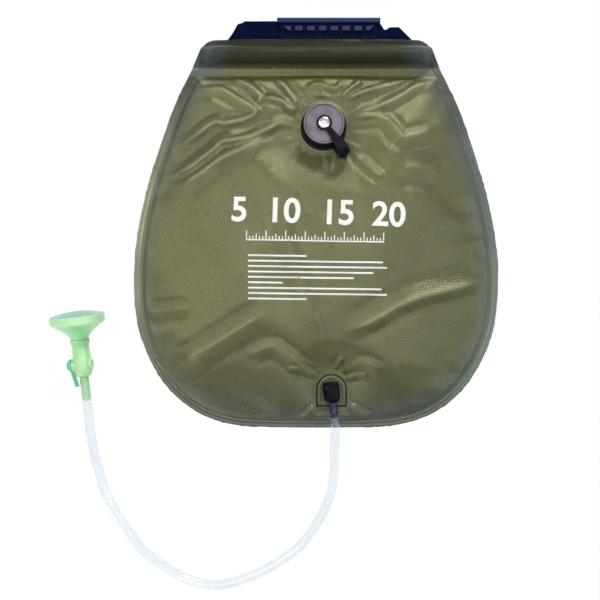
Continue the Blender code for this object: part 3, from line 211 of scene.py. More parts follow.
# Creases of the front film in millimetres: rise, width on the left and on the right of the line, the line
CREASES = [
    (2.6, 7, 11, [(-152, 180), (-134, 178), (-119, 177), (-112, 174), (-97, 164), (-76, 150), (-77, 143),
                  (-91, 136), (-112, 132), (-124, 134), (-136, 127), (-150, 117), (-164, 110), (-183, 106)]),
    (2.6, 8, 8, [(-106, 192), (-90, 185), (-77, 176), (-69, 166), (-76, 152)]),
    (2.4, 8, 7, [(-69, 166), (-55, 164), (-41, 159), (-31, 150), (-20, 147)]),
    (2.0, 5, 7, [(-53, 191), (-41, 182), (-32, 167), (-21, 149)]),
    (1.6, 5, 5, [(-38, 189), (-29, 177), (-18, 163)]),
    (3.0, 8, 12, [(-27, 128), (-38, 131), (-47, 132), (-55, 127), (-70, 120), (-82, 114), (-101, 111),
                  (-115, 109), (-126, 100), (-141, 89), (-157, 78), (-172, 72), (-192, 70)]),
    (2.6, 14, 18, [(-53, 120), (-82, 104), (-112, 90), (-126, 82), (-141, 71), (-157, 61), (-174, 49)]),
    (1.6, 6, 6, [(-16, 174), (3, 181), (22, 175), (36, 187)]),
    (1.2, 4, 5, [(-4, 165), (8, 167), (18, 163)]),
    (1.8, 5, 7, [(28, 161), (48, 181), (61, 191)]),
    (2.2, 6, 8, [(33, 159), (52, 169), (79, 178), (110, 187)]),
    (1.4, 4, 5, [(29, 159), (44, 166), (66, 176), (88, 185), (114, 188)]),
    (2.8, 9, 12, [(44, 145), (66, 150), (88, 159), (106, 169), (125, 181), (147, 187)]),
    (2.4, 10, 14, [(40, 136), (51, 141), (70, 142), (85, 139), (92, 132), (100, 121), (108, 115), (125, 119),
                   (147, 125)]),
    (1.8, 10, 8, [(44, 88), (56, 86), (69, 73), (84, 62)]),
    (1.6, 18, 18, [(100, 76), (133, 77), (155, 72)]),
    (1.6, 10, 14, [(-212, -99), (-195, -98), (-170, -95), (-154, -99)]),
    (2.4, 16, 20, [(-170, -165), (-154, -155), (-130, -141), (-106, -126), (-81, -111), (-55, -98)]),
    (1.9, 11, 14, [(-87, -156), (-73, -147), (-55, -141), (-44, -144), (-24, -160), (-2, -176)]),
    (1.6, 6, 6, [(-38, -169), (-19, -169), (0, -180)]),
    (3.0, 14, 20, [(210, -50), (196, -59), (180, -67), (156, -73), (132, -79), (107, -88), (88, -98),
                   (66, -111), (41, -122), (28, -131)]),
    (1.8, 9, 12, [(34, -178), (43, -166), (52, -161), (66, -163), (80, -172)]),
    (1.6, 5, 7, [(36, -183), (50, -177), (66, -177)]),
    (1.8, 5, 6, [(25, -170), (28, -160), (35, -154)]),
    (1.5, 10, 14, [(-40, 44), (-38, 12), (-31, -25), (-19, -62), (-7, -95), (3, -126)]),
    (1.3, 4, 5, [(1, -96), (5, -116), (9, -140)]),
    (1.9, 9, 4.0, [(0, -214), (-9, -221), (-19, -231)]),
    (1.6, 5, 9, [(39, -213), (52, -220), (68, -229)]),
]


# ---- Numbers and lines ----

def ease(value):
    """A smooth step from 0 to 1."""
    value = np.clip(value, 0.0, 1.0)
    return value * value * (3 - 2 * value)


def rise(value, start, run):
    """A smooth step that goes up from 0 at its start to 1 at the end of its run."""
    return ease((value - start) / run)


def fall(value, start, run):
    """A smooth step that goes down from 1 at its start to 0 at the end of its run."""
    return 1.0 - rise(value, start, run)


def hump(value, middle, width):
    """A soft bump of 1 over its middle."""
    return np.exp(-(((value - middle) / width) ** 2))


def share_between(value, low, high):
    """How far one value lies from a low one to a high one, from 0 to 1."""
    return min(max((value - low) / (high - low), 0.0), 1.0)


def squared(wave, power):
    """Sines or cosines drawn out, so that a circle made with them comes near a square."""
    return np.sign(wave) * np.abs(wave) ** power


def turns_round(count):
    return np.linspace(0, 2 * pi, count, endpoint=False)


def row_at(x, y):
    """The points of one row."""
    return np.stack([x, np.full(len(x), y)], axis=1)


def away_from(points, centre):
    return np.hypot(points[:, 0] - centre.x, points[:, 1] - centre.y)


def smooth_curve(points, steps):
    """Points on a Catmull-Rom curve through the given points, with steps between neighbours."""
    points = np.array(points, float)
    padded = np.concatenate([[2 * points[0] - points[1]], points, [2 * points[-1] - points[-2]]])
    found = []
    for i in range(len(points) - 1):
        a, b, c, d = padded[i : i + 4]
        for t in np.arange(steps) / steps:
            bend, turn = 2 * a - 5 * b + 4 * c - d, 3 * b - a - 3 * c + d
            found.append(0.5 * (2 * b + (c - a) * t + bend * t**2 + turn * t**3))
    found.append(points[-1])
    return np.array(found)


def run_lengths(line):
    """How far along a line each of its points lies."""
    return np.concatenate([[0.0], np.cumsum(np.linalg.norm(np.diff(line, axis=0), axis=1))])


def even_points(line, spacing):
    """A line's points again, evenly spaced."""
    lengths = run_lengths(line)
    places = np.linspace(0.0, lengths[-1], max(int(ceil(lengths[-1] / spacing)), 1) + 1)
    return np.stack([np.interp(places, lengths, line[:, i]) for i in range(line.shape[1])], axis=1)


def near_line(points, line):
    """Distance from a line, positive on its left, and how far along it the nearest place is, as a share."""
    starts, runs = line[:-1], line[1:] - line[:-1]
    rel = points[:, None, :] - starts[None]
    t = np.clip((rel * runs).sum(axis=2) / (runs**2).sum(axis=1), 0.0, 1.0)
    off = rel - t[..., None] * runs
    far = np.linalg.norm(off, axis=2)
    best = far.argmin(axis=1)
    each = np.arange(len(points))
    side = runs[best, 0] * off[each, best, 1] - runs[best, 1] * off[each, best, 0]
    lengths = run_lengths(line)
    along = (lengths[best] + t[each, best] * (lengths[best + 1] - lengths[best])) / lengths[-1]
    return np.where(side >= 0, 1.0, -1.0) * far[each, best], along


def inside(points, loop):
    """Which points lie inside a closed loop."""
    crossed = np.zeros(len(points), bool)
    x, y = points[:, 0], points[:, 1]
    for (x0, y0), (x1, y1) in zip(loop, np.roll(loop, -1, axis=0)):
        spans = (y0 > y) != (y1 > y)
        if spans.any():
            crossed ^= spans & (x < (x1 - x0) * (y - y0) / (y1 - y0 if y1 != y0 else 1e-12) + x0)
    return crossed


def gentle_noise(points, seed, length):
    """A smooth random field of about -1 to 1 with waves of about this length, the same on every run."""
    draw = np.random.default_rng(seed)
    total = np.zeros(len(points))
    count = 7
    for _ in range(count):
        turn, phase = draw.uniform(0, 2 * pi, 2)
        wave = 2 * pi / (length * draw.uniform(0.7, 1.5))
        total += np.sin(wave * (points[:, 0] * cos(turn) + points[:, 1] * sin(turn)) + phase)
    return total / (0.5 * count) ** 0.5 / 1.6


# ---- Meshes ----

def link_new(name, data):
    made = bpy.data.objects.new(name, data)
    bpy.context.scene.collection.objects.link(made)
    return made


def write_back(build, mesh, sharp=None, outward=True):
    """Put a bmesh into its mesh, shaded smooth up to a sharp angle, with its faces turned outwards."""
    if outward:
        bmesh.ops.recalc_face_normals(build, faces=build.faces)
    build.to_mesh(mesh)
    build.free()
    mesh.shade_smooth()
    if sharp:
        mesh.set_sharp_from_angle(angle=radians(sharp))


def new_mesh(name, points, faces, outward=True, sharp=35.0):
    """A smooth-shaded mesh object, with its faces turned outwards if it is closed."""
    mesh = bpy.data.meshes.new(name)
    mesh.from_pydata([tuple(point) for point in points], [], faces)
    build = bmesh.new()
    build.from_mesh(mesh)
    write_back(build, mesh, sharp, outward)
    return link_new(name, mesh)


def skin(name, rings, loop=False, caps=False, around=True, sharp=35.0):
    """A surface through rings, or rows, of as many points each."""
    rings = np.asarray(rings, float)
    count, sides = rings.shape[:2]
    faces = []
    for row in range(count if loop else count - 1):
        a, b = row * sides, (row + 1) % count * sides
        for s in range(sides if around else sides - 1):
            t = (s + 1) % sides
            faces.append((a + s, a + t, b + t, b + s))
    if caps:
        faces += [tuple(range(sides))[::-1], tuple(range((count - 1) * sides, count * sides))]
    return new_mesh(name, rings.reshape(-1, 3), faces, outward=around, sharp=sharp)


def rounded(profile, radius, closed=True, steps=4):
    """A profile with its corners rounded."""
    points = [Vector(point) for point in profile]
    found = []
    for i, point in enumerate(points):
        if not closed and i in (0, len(points) - 1):
            found.append(point)
            continue
        before, after = points[i - 1] - point, points[(i + 1) % len(points)] - point
        first = point + before.normalized() * min(radius, before.length * 0.45)
        last = point + after.normalized() * min(radius, after.length * 0.45)
        for t in np.linspace(0, 1, steps):
            found.append(first * (1 - t) ** 2 + point * 2 * t * (1 - t) + last * t * t)
    return found


def put_in_place(piece, matrix):
    piece.data.transform(matrix)
    piece.data.update()


def turned(name, profile, steps, radius_at=None, place=None):
    """A form turned round Z from (radius, height). A profile that starts on the axis also ends on it."""
    turns = turns_round(steps)
    rings = []
    for radius, height in profile:
        reach = radius_at(radius, height, turns) if radius_at else radius
        rings.append(np.stack([reach * np.cos(turns), reach * np.sin(turns), np.full(steps, height)], axis=1))
    made = skin(name, rings, loop=profile[0][0] != 0.0)
    merge(made)
    if place is not None:
        put_in_place(made, place)
    return made


def merge(piece, sharp=35.0, extra=()):
    """Join the points of a piece that lie on each other, take in other pieces, and shade it again."""
    build = bmesh.new()
    build.from_mesh(piece.data)
    for other in extra:
        build.from_mesh(other.data)
        bpy.data.objects.remove(other, do_unlink=True)
    bmesh.ops.remove_doubles(build, verts=build.verts, dist=0.0000005)
    bmesh.ops.dissolve_degenerate(build, edges=build.edges, dist=0.0000005)
    write_back(build, piece.data, sharp)


def polished(name, node, edge, finish, body, slot):
    """A copy of a CAD node with its edges rounded and its round stretches smooth, which stands for it."""
    corner = 30.0
    build = bmesh.new()
    build.from_mesh(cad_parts[node].data)
    bmesh.ops.remove_doubles(build, verts=build.verts, dist=0.000003)
    bmesh.ops.dissolve_limit(build, angle_limit=radians(0.8), verts=build.verts, edges=build.edges)
    mesh = bpy.data.meshes.new(name)
    write_back(build, mesh, corner)
    made = link_new(name, mesh)
    modify(
        made, "BEVEL", width=edge, segments=3, limit_method="ANGLE", angle_limit=radians(corner),
        harden_normals=True,
    )
    hand_over(made, body, slot, finish, node)
    return made


def piped_rings(line, radii):
    """Rings of points round a line that don't twist, one radius for each of its points."""
    runs = np.gradient(line, axis=0)
    runs /= np.linalg.norm(runs, axis=1)[:, None]
    side = np.cross(runs[0], (0.0, 0.0, 1.0))
    turns = turns_round(HOSE_SIDES)[:, None]
    rings = []
    for point, run, radius in zip(line, runs, radii):
        side = side - run * side.dot(run)
        side = side / np.linalg.norm(side)
        rings.append(point + (side * np.cos(turns) + np.cross(run, side) * np.sin(turns)) * radius)
    return np.array(rings)


def modify(piece, kind, **settings):
    step = piece.modifiers.new(kind.lower(), kind)
    for name, value in settings.items():
        setattr(step, name, value)


def store(piece, name, values):
    """Keep a number for each point on the mesh, for its material."""
    held = piece.data.attributes.new(name, "FLOAT", "POINT")
    held.data.foreach_set("value", np.asarray(values, np.float32))


def hand_over(piece, body, slot, finish, *nodes):
    """Give a piece its finish and the body it rides on, and let it stand for its CAD nodes. The slot is not
    used.
    """
    piece.data.materials.clear()
    piece.data.materials.append(finish)
    if body:
        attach(piece, body)
    if nodes:
        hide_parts(*nodes)


# ---- Finishes ----

def tint(colour, share=1.0):
    return (*(part * share for part in colour), 1.0)


class Nodes:
    """A node tree in the making, with short ways to add its nodes."""

    def __init__(self, tree):
        self.nodes, self.links = tree.nodes, tree.links

    def put(self, kind, inputs, **settings):
        """Add one node. Inputs are plain values or other nodes' outputs."""
        made = self.nodes.new("ShaderNode" + kind)
        for name, value in settings.items():
            setattr(made, name, value)
        self.fill(made, inputs)
        return made

    def fill(self, node, inputs):
        for key, value in inputs.items():
            if isinstance(value, bpy.types.NodeSocket):
                self.links.new(value, node.inputs[key])
            else:
                node.inputs[key].default_value = value

    def maths(self, operation, first, second=0.0):
        return self.put("Math", {0: first, 1: second}, operation=operation).outputs[0]

    def seen_by(self, *rays):
        """1 for these kinds of ray, and 0 for all others."""
        path = self.put("LightPath", {}).outputs
        total = path[rays[0]]
        for ray in rays[1:]:
            total = self.maths("MAXIMUM", total, path[ray])
        return total

    def show_as(self, share, unseen, seen, output):
        """Let an output show one shader, and another for a share of the rays."""
        blend = self.put("MixShader", {0: share, 1: unseen.outputs[0], 2: seen.outputs[0]})
        self.fill(self.nodes[output], {"Surface": blend.outputs[0]})


class Finish(Nodes):
    """A material in the making."""

    def __init__(self, name):
        self.material = bpy.data.materials.new(name)
        self.material.use_nodes = True
        super().__init__(self.material.node_tree)
        self.shader = self.nodes["Principled BSDF"]

    def where(self, scale=(1, 1, 1), turn=(0, 0, 0), source="Object"):
        spot = self.put("TexCoord", {}).outputs[source]
        return self.put("Mapping", {"Vector": spot, "Scale": scale, "Rotation": turn}).outputs[0]

    def noise(self, scale, detail=3.0, vector=None):
        vector = vector or self.where()
        return self.put("TexNoise", {"Vector": vector, "Scale": scale, "Detail": detail}).outputs["Fac"]

    def times(self, value, share):
        return self.maths("MULTIPLY", value, share)

    def between(self, value, low, high, to_low=0.0, to_high=1.0):
        inputs = {"Value": value, 1: low, 2: high, 3: to_low, 4: to_high}
        return self.put("MapRange", inputs, interpolation_type="SMOOTHSTEP").outputs[0]

    def stripe(self, value, up, full, down, out):
        """1 in a band of values, which begins from up to full and ends from down to out."""
        return self.maths("ADD", self.between(value, up, full), self.between(value, down, out, 0.0, -1.0))

    def mix(self, share, first, second):
        made = self.put("Mix", {}, data_type="RGBA")
        self.fill(made, {0: share, 6: first, 7: second})
        return made.outputs[2]

    def mottle(self, value, low, high, colour, first, last):
        """A colour that goes from one shade of it to another as a value goes from low to high."""
        return self.mix(self.between(value, low, high), tint(colour, first), tint(colour, last))

    def held(self, name):
        """A number kept on the mesh under this name."""
        return self.put("Attribute", {}, attribute_name=name).outputs["Fac"]

    def bump(self, height, distance, strength, normal=None):
        inputs = {"Height": height, "Distance": distance, "Strength": strength}
        if normal is not None:
            inputs["Normal"] = normal
        return self.put("Bump", inputs).outputs[0]

    def done(self, **inputs):
        """Set the shader's own inputs, written with _ for a space, and give the material."""
        self.fill(self.shader, {key.replace("_", " "): value for key, value in inputs.items()})
        return self.material


def diamond_weave(finish, pitch):
    """The emboss of the film: two rows of raised threads that cross at a slant."""
    across, up, _ = finish.put("SeparateXYZ", {0: finish.where()}).outputs
    run = finish.times(across, 2 * pi * cos(WEAVE_SLANT) / pitch)
    climb = finish.times(up, 2 * pi * sin(WEAVE_SLANT) / pitch)
    threads = [finish.maths("SINE", finish.maths(way, run, climb)) for way in ("ADD", "SUBTRACT")]
    return finish.maths("ADD", *threads)


def film_finish(name, settings, colour, dark):
    """Embossed film with a satin sheen, dark over the hem, with a painted bluish reflection towards its edge,
    painted shade and painted crest highlights.
    """
    made = Finish(name)
    rim, hem, patch = made.held("rim"), made.held("hem"), made.held("patch")
    weave = diamond_weave(made, settings.weave_pitch)
    olive = colour[0] > 0.05
    # The edge colour is a painted bluish reflection; darker tints of it below are painted shade
    edge = settings.edge_sheen_colour if olive else colour
    seam = made.stripe(rim, 0.0070, 0.0082, 0.0082, 0.0096)
    ring = made.stripe(patch, -0.0013, -0.0004, 0.0004, 0.0013)
    inner = made.stripe(patch, -0.0050, -0.0045, -0.0045, -0.0039)
    lines = made.maths("MAXIMUM", made.times(seam, 0.7), made.times(inner, 0.45))
    body = made.mottle(made.noise(9.0), 0.35, 0.65, colour, 1.0, dark)
    for share, over in (
        (made.between(made.noise(60.0, 4.0), 0.4, 0.75, 0.0, 0.18), tint(colour, 1.30)),
        (made.held("band"), tint(colour, 1.45)),
        (made.times(hem, 0.97), tint(settings.hem_colour)),
        # Painted reflection: a bluish sheen towards the rim and in the hem's corners
        (made.times(made.held("cast"), 0.90), made.mix(hem, tint(edge), tint(edge, 0.62))),
        # Painted shade, darker towards the bottom
        (made.times(made.held("low"), 0.55), tint(edge, 0.30)),
        # Painted shade along the rim near the hem's corners
        (made.times(made.held("painted_rim_shade"), 0.92), tint(edge, 0.24)),
        # Painted shade in the troughs beside the creases
        (made.times(made.held("trough_shade"), 0.45), tint(colour, 0.40)),
        # Painted shade in the low threads of the emboss
        (made.between(weave, -1.6, 0.8, 0.70, 0.0), tint(colour, 0.25)),
        # Painted highlight along the creases' crests
        (made.times(made.held("crest_highlight"), 0.46), tint(settings.crest_highlight_colour)),
        (made.maths("MAXIMUM", lines, made.times(ring, 0.86)), tint(colour, 0.10)),
    ):
        body = made.mix(share, body, over)
    gloss = made.between(made.noise(25.0), 0.3, 0.7, 0.23, 0.31)
    gloss = made.maths("ADD", gloss, made.times(hem, 0.06))
    gloss = made.maths("MAXIMUM", gloss, made.times(ring, 0.75))
    threads = made.bump(weave, 0.00008, made.between(rim, 0.0075, 0.0095, 0.25, 0.95))
    soft = made.bump(made.noise(110.0, 4.0), 0.00010, 0.35, threads)
    sheen = made.mix(hem, (1.0, 0.98, 0.58, 1.0) if olive else WHITE, (0.15, 0.16, 0.13, 1.0))
    welds = made.maths("MAXIMUM", ring, made.times(inner, 0.6))
    sheen = made.mix(welds, sheen, (0.04, 0.04, 0.03, 1.0))
    return made.done(
        Base_Color=body, Roughness=gloss, Normal=soft, IOR=1.5, Specular_IOR_Level=1.0, Specular_Tint=sheen
    )


def plastic_finish(
    name, colour, roughness, scuff=0.25, coat=0.0, shine=0.5, glow=0.0, dark=0.90, rim_colour=None
):
    """Moulded plastic: a fine grain, faint flow marks, scuffs that dull it, and a rim of another colour."""
    made = Finish(name)
    flow = made.noise(35.0, 4.0)
    body = made.mottle(flow, 0.3, 0.7, colour, dark, 1.08)
    if rim_colour is not None:
        # The rim is painted 10 to 18 per cent lighter than its colour, as painted light
        body = made.mix(made.held("rim_band"), body, made.mottle(flow, 0.3, 0.7, rim_colour, 1.10, 1.18))
    marks = made.noise(220.0, 6.0, made.where(scale=(1, 6, 1), turn=(0.3, 0.2, 0.6)))
    gloss = made.between(marks, 0.45, 0.75, roughness, roughness + scuff)
    made.shader.inputs["Subsurface Radius"].default_value = (0.006, 0.010, 0.005)
    return made.done(
        Base_Color=body, Roughness=gloss, Normal=made.bump(made.noise(900.0, 2.0), 0.00003, 0.5),
        Coat_Weight=coat, Specular_IOR_Level=shine, Subsurface_Weight=glow, Subsurface_Scale=1.0,
    )


def cap_finish(settings):
    """The cap's black plastic: a blotchy grey top of painted reflection with turning marks, a painted
    highlight on the lip, painted shade in a ring, and a black skirt.
    """
    made = Finish("cap_plastic")
    parts = made.put("SeparateXYZ", {0: made.where()}).outputs
    offs = [made.maths("SUBTRACT", part, middle) for part, middle in zip(parts, FILLER)]
    reach = made.maths("SQRT", made.maths("ADD", *(made.times(off, off) for off in offs)))
    blotch = made.noise(70.0, 5.0)
    # Painted highlight along the top of the lip
    lip = made.times(
        made.between(reach, 0.0232, 0.0238), made.between(parts[2], CAP_TOP_Z + 0.0001, CAP_TOP_Z + 0.0005)
    )
    # Painted shade in a ring just inside the lip
    groove_shade = made.stripe(reach, 0.0208, 0.0216, 0.0226, 0.0232)
    # The grey of the top is a painted reflection on the black plastic, blotched at random
    wear_and_sheen = made.mottle(blotch, 0.3, 0.7, settings.cap_top_sheen_colour, 0.80, 1.15)
    wear_and_sheen = made.mix(made.times(lip, 0.6), wear_and_sheen, tint(settings.cap_top_sheen_colour, 2.2))
    wear_and_sheen = made.mix(made.times(groove_shade, 0.60), wear_and_sheen, tint(settings.cap_top_sheen_colour, 0.20))
    top = made.between(parts[2], CAP_TOP_Z - 0.0010, CAP_TOP_Z - 0.0003)
    rings = made.maths("SINE", made.times(reach, 2 * pi / 0.0016))
    height = made.maths("ADD", made.times(rings, 0.25), made.noise(420.0, 4.0))
    return made.done(
        Base_Color=made.mix(top, tint(settings.plastic_colour), wear_and_sheen), Specular_IOR_Level=0.22,
        Roughness=made.between(blotch, 0.3, 0.7, 0.34, 0.50), Normal=made.bump(height, 0.00004, 0.6),
    )


def rubber_finish(name, colour):
    """Rubber with a little pale dust in its pores."""
    made = Finish(name)
    dust = made.between(made.noise(90.0, 6.0), 0.5, 0.75, 0.0, 0.35)
    return made.done(
        Base_Color=made.mix(dust, tint(colour), tint(colour, 2.2)), Specular_IOR_Level=0.13,
        Roughness=made.between(made.noise(60.0), 0.3, 0.7, 0.30, 0.45),
        Normal=made.bump(made.noise(700.0, 4.0), 0.00006, 0.6),
    )


def webbing_finish(settings):
    """Navy webbing: ribs across the strap, crossed by fine threads, with corded edges, painted shade in the
    weave's hollows and a painted highlight on its crests.
    """
    made = Finish("navy_webbing")
    along, side, _ = made.put("SeparateXYZ", {0: made.where(source="UV")}).outputs
    ribs = made.times(along, 2 * pi / settings.rib_pitch)
    across = made.times(side, 2 * pi / (settings.rib_pitch * 1.15))
    twill = made.maths("SINE", made.maths("ADD", ribs, made.maths("SINE", across)))
    warp = made.maths("SINE", made.times(across, 2.0))
    relief = made.maths("ADD", twill, made.times(warp, 0.4))
    cord = made.between(made.maths("ABSOLUTE", side), 0.0108, 0.0118)
    relief = made.maths("ADD", relief, made.times(cord, 1.5))
    fuzz = made.noise(1500.0)
    # Painted shade and highlight: darker in the weave's hollows, lighter on its crests
    body = made.mottle(relief, -1.0, 1.2, settings.webbing_colour, 0.5, 1.3)
    body = made.mix(made.between(fuzz, 0.5, 0.8, 0.0, 0.3), body, tint(settings.webbing_colour, 2.0))
    raised = made.bump(fuzz, 0.00005, 0.5, made.bump(relief, 0.00026, 0.8))
    return made.done(Base_Color=body, Roughness=0.72, Normal=raised, Specular_IOR_Level=0.04)


def metal_finish(name):
    """Bright metal, finely brushed."""
    made = Finish(name)
    brushed = made.noise(400.0, 4.0, made.where(scale=(1, 1, 8)))
    body = made.mix(made.noise(120.0), (0.74, 0.75, 0.80, 1.0), (0.88, 0.88, 0.92, 1.0))
    gloss = made.between(brushed, 0.3, 0.8, 0.22, 0.34)
    return made.done(Base_Color=body, Roughness=gloss, Metallic=1.0, Normal=made.bump(brushed, 0.000004, 0.3))


def hose_finish(colour):
    """Clear hose: it bends the light, with a faint blue cast and a little haze in places."""
    made = Finish("clear_hose")
    cast = made.mottle(made.noise(30.0), 0.3, 0.7, colour, 1.0, 0.98)
    haze = made.between(made.noise(60.0, 2.0), 0.4, 0.7, 0.13, 0.18)
    return made.done(Base_Color=cast, Roughness=haze, IOR=1.42, Transmission_Weight=1.0)


def print_finish(colour):
    """White ink that thins out over the film's emboss."""
    made = Finish("print_white")
    body = made.mottle(made.noise(500.0, 5.0), 0.58, 0.72, colour, 1.0, 0.72)
    raised = made.bump(diamond_weave(made, 0.0022), 0.00010, 0.5)
    return made.done(Base_Color=body, Roughness=0.5, Normal=raised)


# ---- The films ----

# The right half of the outline, from the middle of the top round to the middle of the bottom
RIM = smooth_curve(OUTLINE, OUTLINE_STEPS)


def half_width(y):
    side = RIM[OUTLINE_STEPS * 2 :]
    return float(np.interp(-y, -side[:, 1], side[:, 0]))


def rim_distance(points):
    """How far points lie inside the bag's outline."""
    mirrored = np.stack([np.abs(points[:, 0]), points[:, 1]], axis=1)
    return np.abs(near_line(mirrored, RIM)[0])


def level_off(z, reach, flat, blend, level):
    """Bring the film to one level round a fitting."""
    return z + (level - z) * fall(reach, flat, blend)


def rim_angle(points):
    return np.arctan2(points[:, 1] + 0.02, points[:, 0])


def rim_lift(points, rim):
    """The welded edge stands off the surface in slow waves."""
    turn = rim_angle(points)
    waves = 0.5 + 0.28 * np.sin(9 * turn + 0.6) + 0.22 * np.sin(16 * turn + 2.1)
    return 0.0011 * waves * fall(rim, 0.008, 0.016)


def crease_line(line):
    return smooth_curve(np.array(line) / 1000.0, 4)


def creases_at(points):
    """The height of the crests of all the creases, which run into each other, and the depth beside them."""
    crests, troughs = np.zeros(len(points)), np.zeros(len(points))
    for height, left, right, line in CREASES:
        line = crease_line(line)
        reach = max(left, right) * 1.7 / 1000.0
        low, high = line.min(axis=0) - reach, line.max(axis=0) + reach
        near = np.all((points > low) & (points < high), axis=1)
        away, along = near_line(points[near], line)
        width = np.where(away > 0, left, right) / 1000.0
        soft = np.sqrt(away**2 + 0.0004**2) - 0.0004
        share = np.clip(1.0 - soft / width, 0.0, 1.0)
        taper = ease(along / 0.18) * ease((1.0 - along) / 0.22)
        crests[near] += (height / 1000.0 * share**2.2 * taper) ** 2
        troughs[near] += (height / 1000.0 * 0.30 * hump(soft / width, 1.05, 0.34) * taper) ** 2
    return np.sqrt(crests), np.sqrt(troughs)


def weld_bead(rim):
    """The film pressed out along both edges of the rim's weld."""
    return hump(rim, 0.0064, 0.0007) + 0.6 * hump(rim, 0.0015, 0.0008)


def patch_distance(points):
    """Distance outside the arched patch of the outlet, below zero inside it."""
    x, y = points[:, 0] - OUTLET.x, points[:, 1] - OUTLET.y
    straight = np.maximum(np.abs(x) - PATCH_R, -y - PATCH_TAIL)
    return np.where(y > 0, np.hypot(x, y) - PATCH_R, straight)


def front_height(points, settings):
    """Height of the underside of the front film over the chamber and its welds."""
    rim = rim_distance(points)
    inner = np.minimum(rim - RIM_WELD, TOP_WELD_Y - points[:, 1])
    base = FILM + WELD_GAP
    crown = np.sin(pi / 2 * np.clip(inner / CROWN_REACH, 0.0, 1.0))
    z = base + GAP + CROWN * crown ** CROWN_FULLNESS
    reach = away_from(points, FILLER)
    patch = patch_distance(points)
    free = rise(reach, 0.031, 0.010) * rise(patch, 0.0012, 0.006)
    crests, troughs = creases_at(points)
    folds = 0.0012 * gentle_noise(points * (1.0, 1.3), 4, 0.080) + 0.00030 * gentle_noise(points, 12, 0.034)

    # Fine pleats round the filler's flange
    turn = np.arctan2(points[:, 1] - FILLER.y, points[:, 0] - FILLER.x)
    pleats = np.sin(17 * turn + 1.1 * np.sin(3 * turn)) + 0.6 * np.sin(29 * turn + 2 * np.sin(2 * turn))
    folds += 0.00045 * pleats * rise(reach, 0.031, 0.006) * fall(reach, 0.040, 0.030)
    z = level_off(z, reach, FILLER_FLAT, FILLER_BLEND, FILLER_FILM_Z)
    z = level_off(z, away_from(points, OUTLET), OUTLET_FLAT, OUTLET_BLEND, OUTLET_FILM_Z)
    z += folds * free * rise(inner, 0.002, 0.022)
    z += (crests - troughs) * settings.crease_height * free * rise(inner, 0.0005, 0.009)

    # Puckers along the rim, and the dips and beads of the welds round both fittings
    around = rim_angle(points)
    pucker = np.sin(37 * around + 2 * np.sin(5 * around)) * (0.5 + 0.5 * np.sin(7 * around + 1.0))
    z += 0.0007 * pucker * rise(inner, 0.001, 0.009) * fall(inner, 0.012, 0.032) * free
    z -= 0.0011 * rise(reach, 0.0309, 0.0022) * fall(reach, 0.036, 0.012)
    z -= 0.0009 * rise(patch, -0.0001, 0.0013) * fall(patch, 0.004, 0.010)
    z += 0.00030 * hump(reach, 0.0292, 0.0005)
    z += 0.00045 * hump(patch, -0.0032, 0.0010)
    z = base + (z - base) * ease(inner / RIM_WELD)
    return z + 0.00030 * weld_bead(rim) + rim_lift(points, rim)


def flap_height(x):
    """Height of the back film's underside in the top flap."""
    stations = [0.0, LEG_SPREAD - STRAP_WIDTH / 3, LEG_SPREAD + STRAP_WIDTH / 2, half_width(TUBE_Y)]
    return np.interp(np.abs(x - HANDLE_X), stations, [FLAP_Z, FLAP_Z, 0.0045, FLAP_EDGE_Z])


def hem_columns(y, shares):
    """Places across the hem: the same in its middle at every height, drawn in with the outline outside it."""
    x = np.abs(shares)
    drawn = HEM_STEADY + (half_width(y) - HEM_STEADY) * (x - HEM_SHARE) / HEM_REST
    return np.sign(shares) * np.where(x <= HEM_SHARE, x / HEM_SHARE * HEM_STEADY, drawn)


def hem_shares(fine):
    """Shares across the hem, closest together at its rim."""
    middle = np.linspace(-HEM_SHARE, HEM_SHARE, int(2 * HEM_STEADY / fine) + 1)
    side = HEM_SHARE + HEM_REST * (1 - (1 - np.linspace(0, 1, 18)[1:]) ** 1.6)
    return np.concatenate([-side[::-1], middle, side])


def hem_rows(shares):
    """The hem's rows of points: weld band, sleeve over the tube, and top flap."""
    sleeve = SLEEVE_R * 1.004
    foot_y = TUBE_Y - sleeve
    base = FILM + WELD_GAP
    flap_front = FLAP_Z + base + GAP
    away = Vector((FLAP_START_Y - TUBE_Y, flap_front - TUBE_Z))
    leave = atan2(away.y, away.x) + acos(sleeve / away.length)
    line = [(y, base) for y in np.linspace(TOP_WELD_Y, foot_y, 9)[:-1]]
    for turn in np.linspace(pi, leave, 26):
        line.append((TUBE_Y + sleeve * cos(turn), TUBE_Z + sleeve * sin(turn)))
    arc_end, arc_z = line[-1]
    for t in np.linspace(0, 1, 6)[1:]:
        line.append((arc_end + (FLAP_START_Y - arc_end) * t, arc_z + (flap_front - arc_z) * t))
    line += [(y, flap_front) for y in np.linspace(FLAP_START_Y, FLAP_END_Y, 8)[1:]]
    rows = []
    for y, z in line:
        x = hem_columns(y, shares)
        points = row_at(x, y)
        past = np.abs(x - HANDLE_X) - TUBE_LENGTH / 2 - SLEEVE_END_ROOM
        raised = 1.0 - (1.0 - SLEEVE_END_RISE) * ease(past / SLEEVE_TAPER)
        run = share_between(y, foot_y, FLAP_START_Y)
        late = share_between(y, arc_end, FLAP_START_Y)
        ground = base + (flap_front - base) * run
        drop = late * raised + run * (1.0 - raised)
        height = ground + (z - ground) * raised - (FLAP_Z - flap_height(x)) * drop
        band = hump(y, WELD_LINES_Y[0], 0.0007) + 0.7 * hump(y, WELD_LINES_Y[1], 0.0006)
        over = float(rise(y, foot_y, 0.006))
        slack = 0.00035 * gentle_noise(points * (0.35, 2.2), 21, 0.016) * over
        rim = rim_distance(points)
        bead = weld_bead(rim) * np.maximum(1 - raised, 1.0 - over)
        height = height + 0.0004 * band + np.abs(slack) + 0.0003 * bead + rim_lift(points, rim)
        rows.append(np.stack([x, points[:, 1], height], axis=1))
    return rows


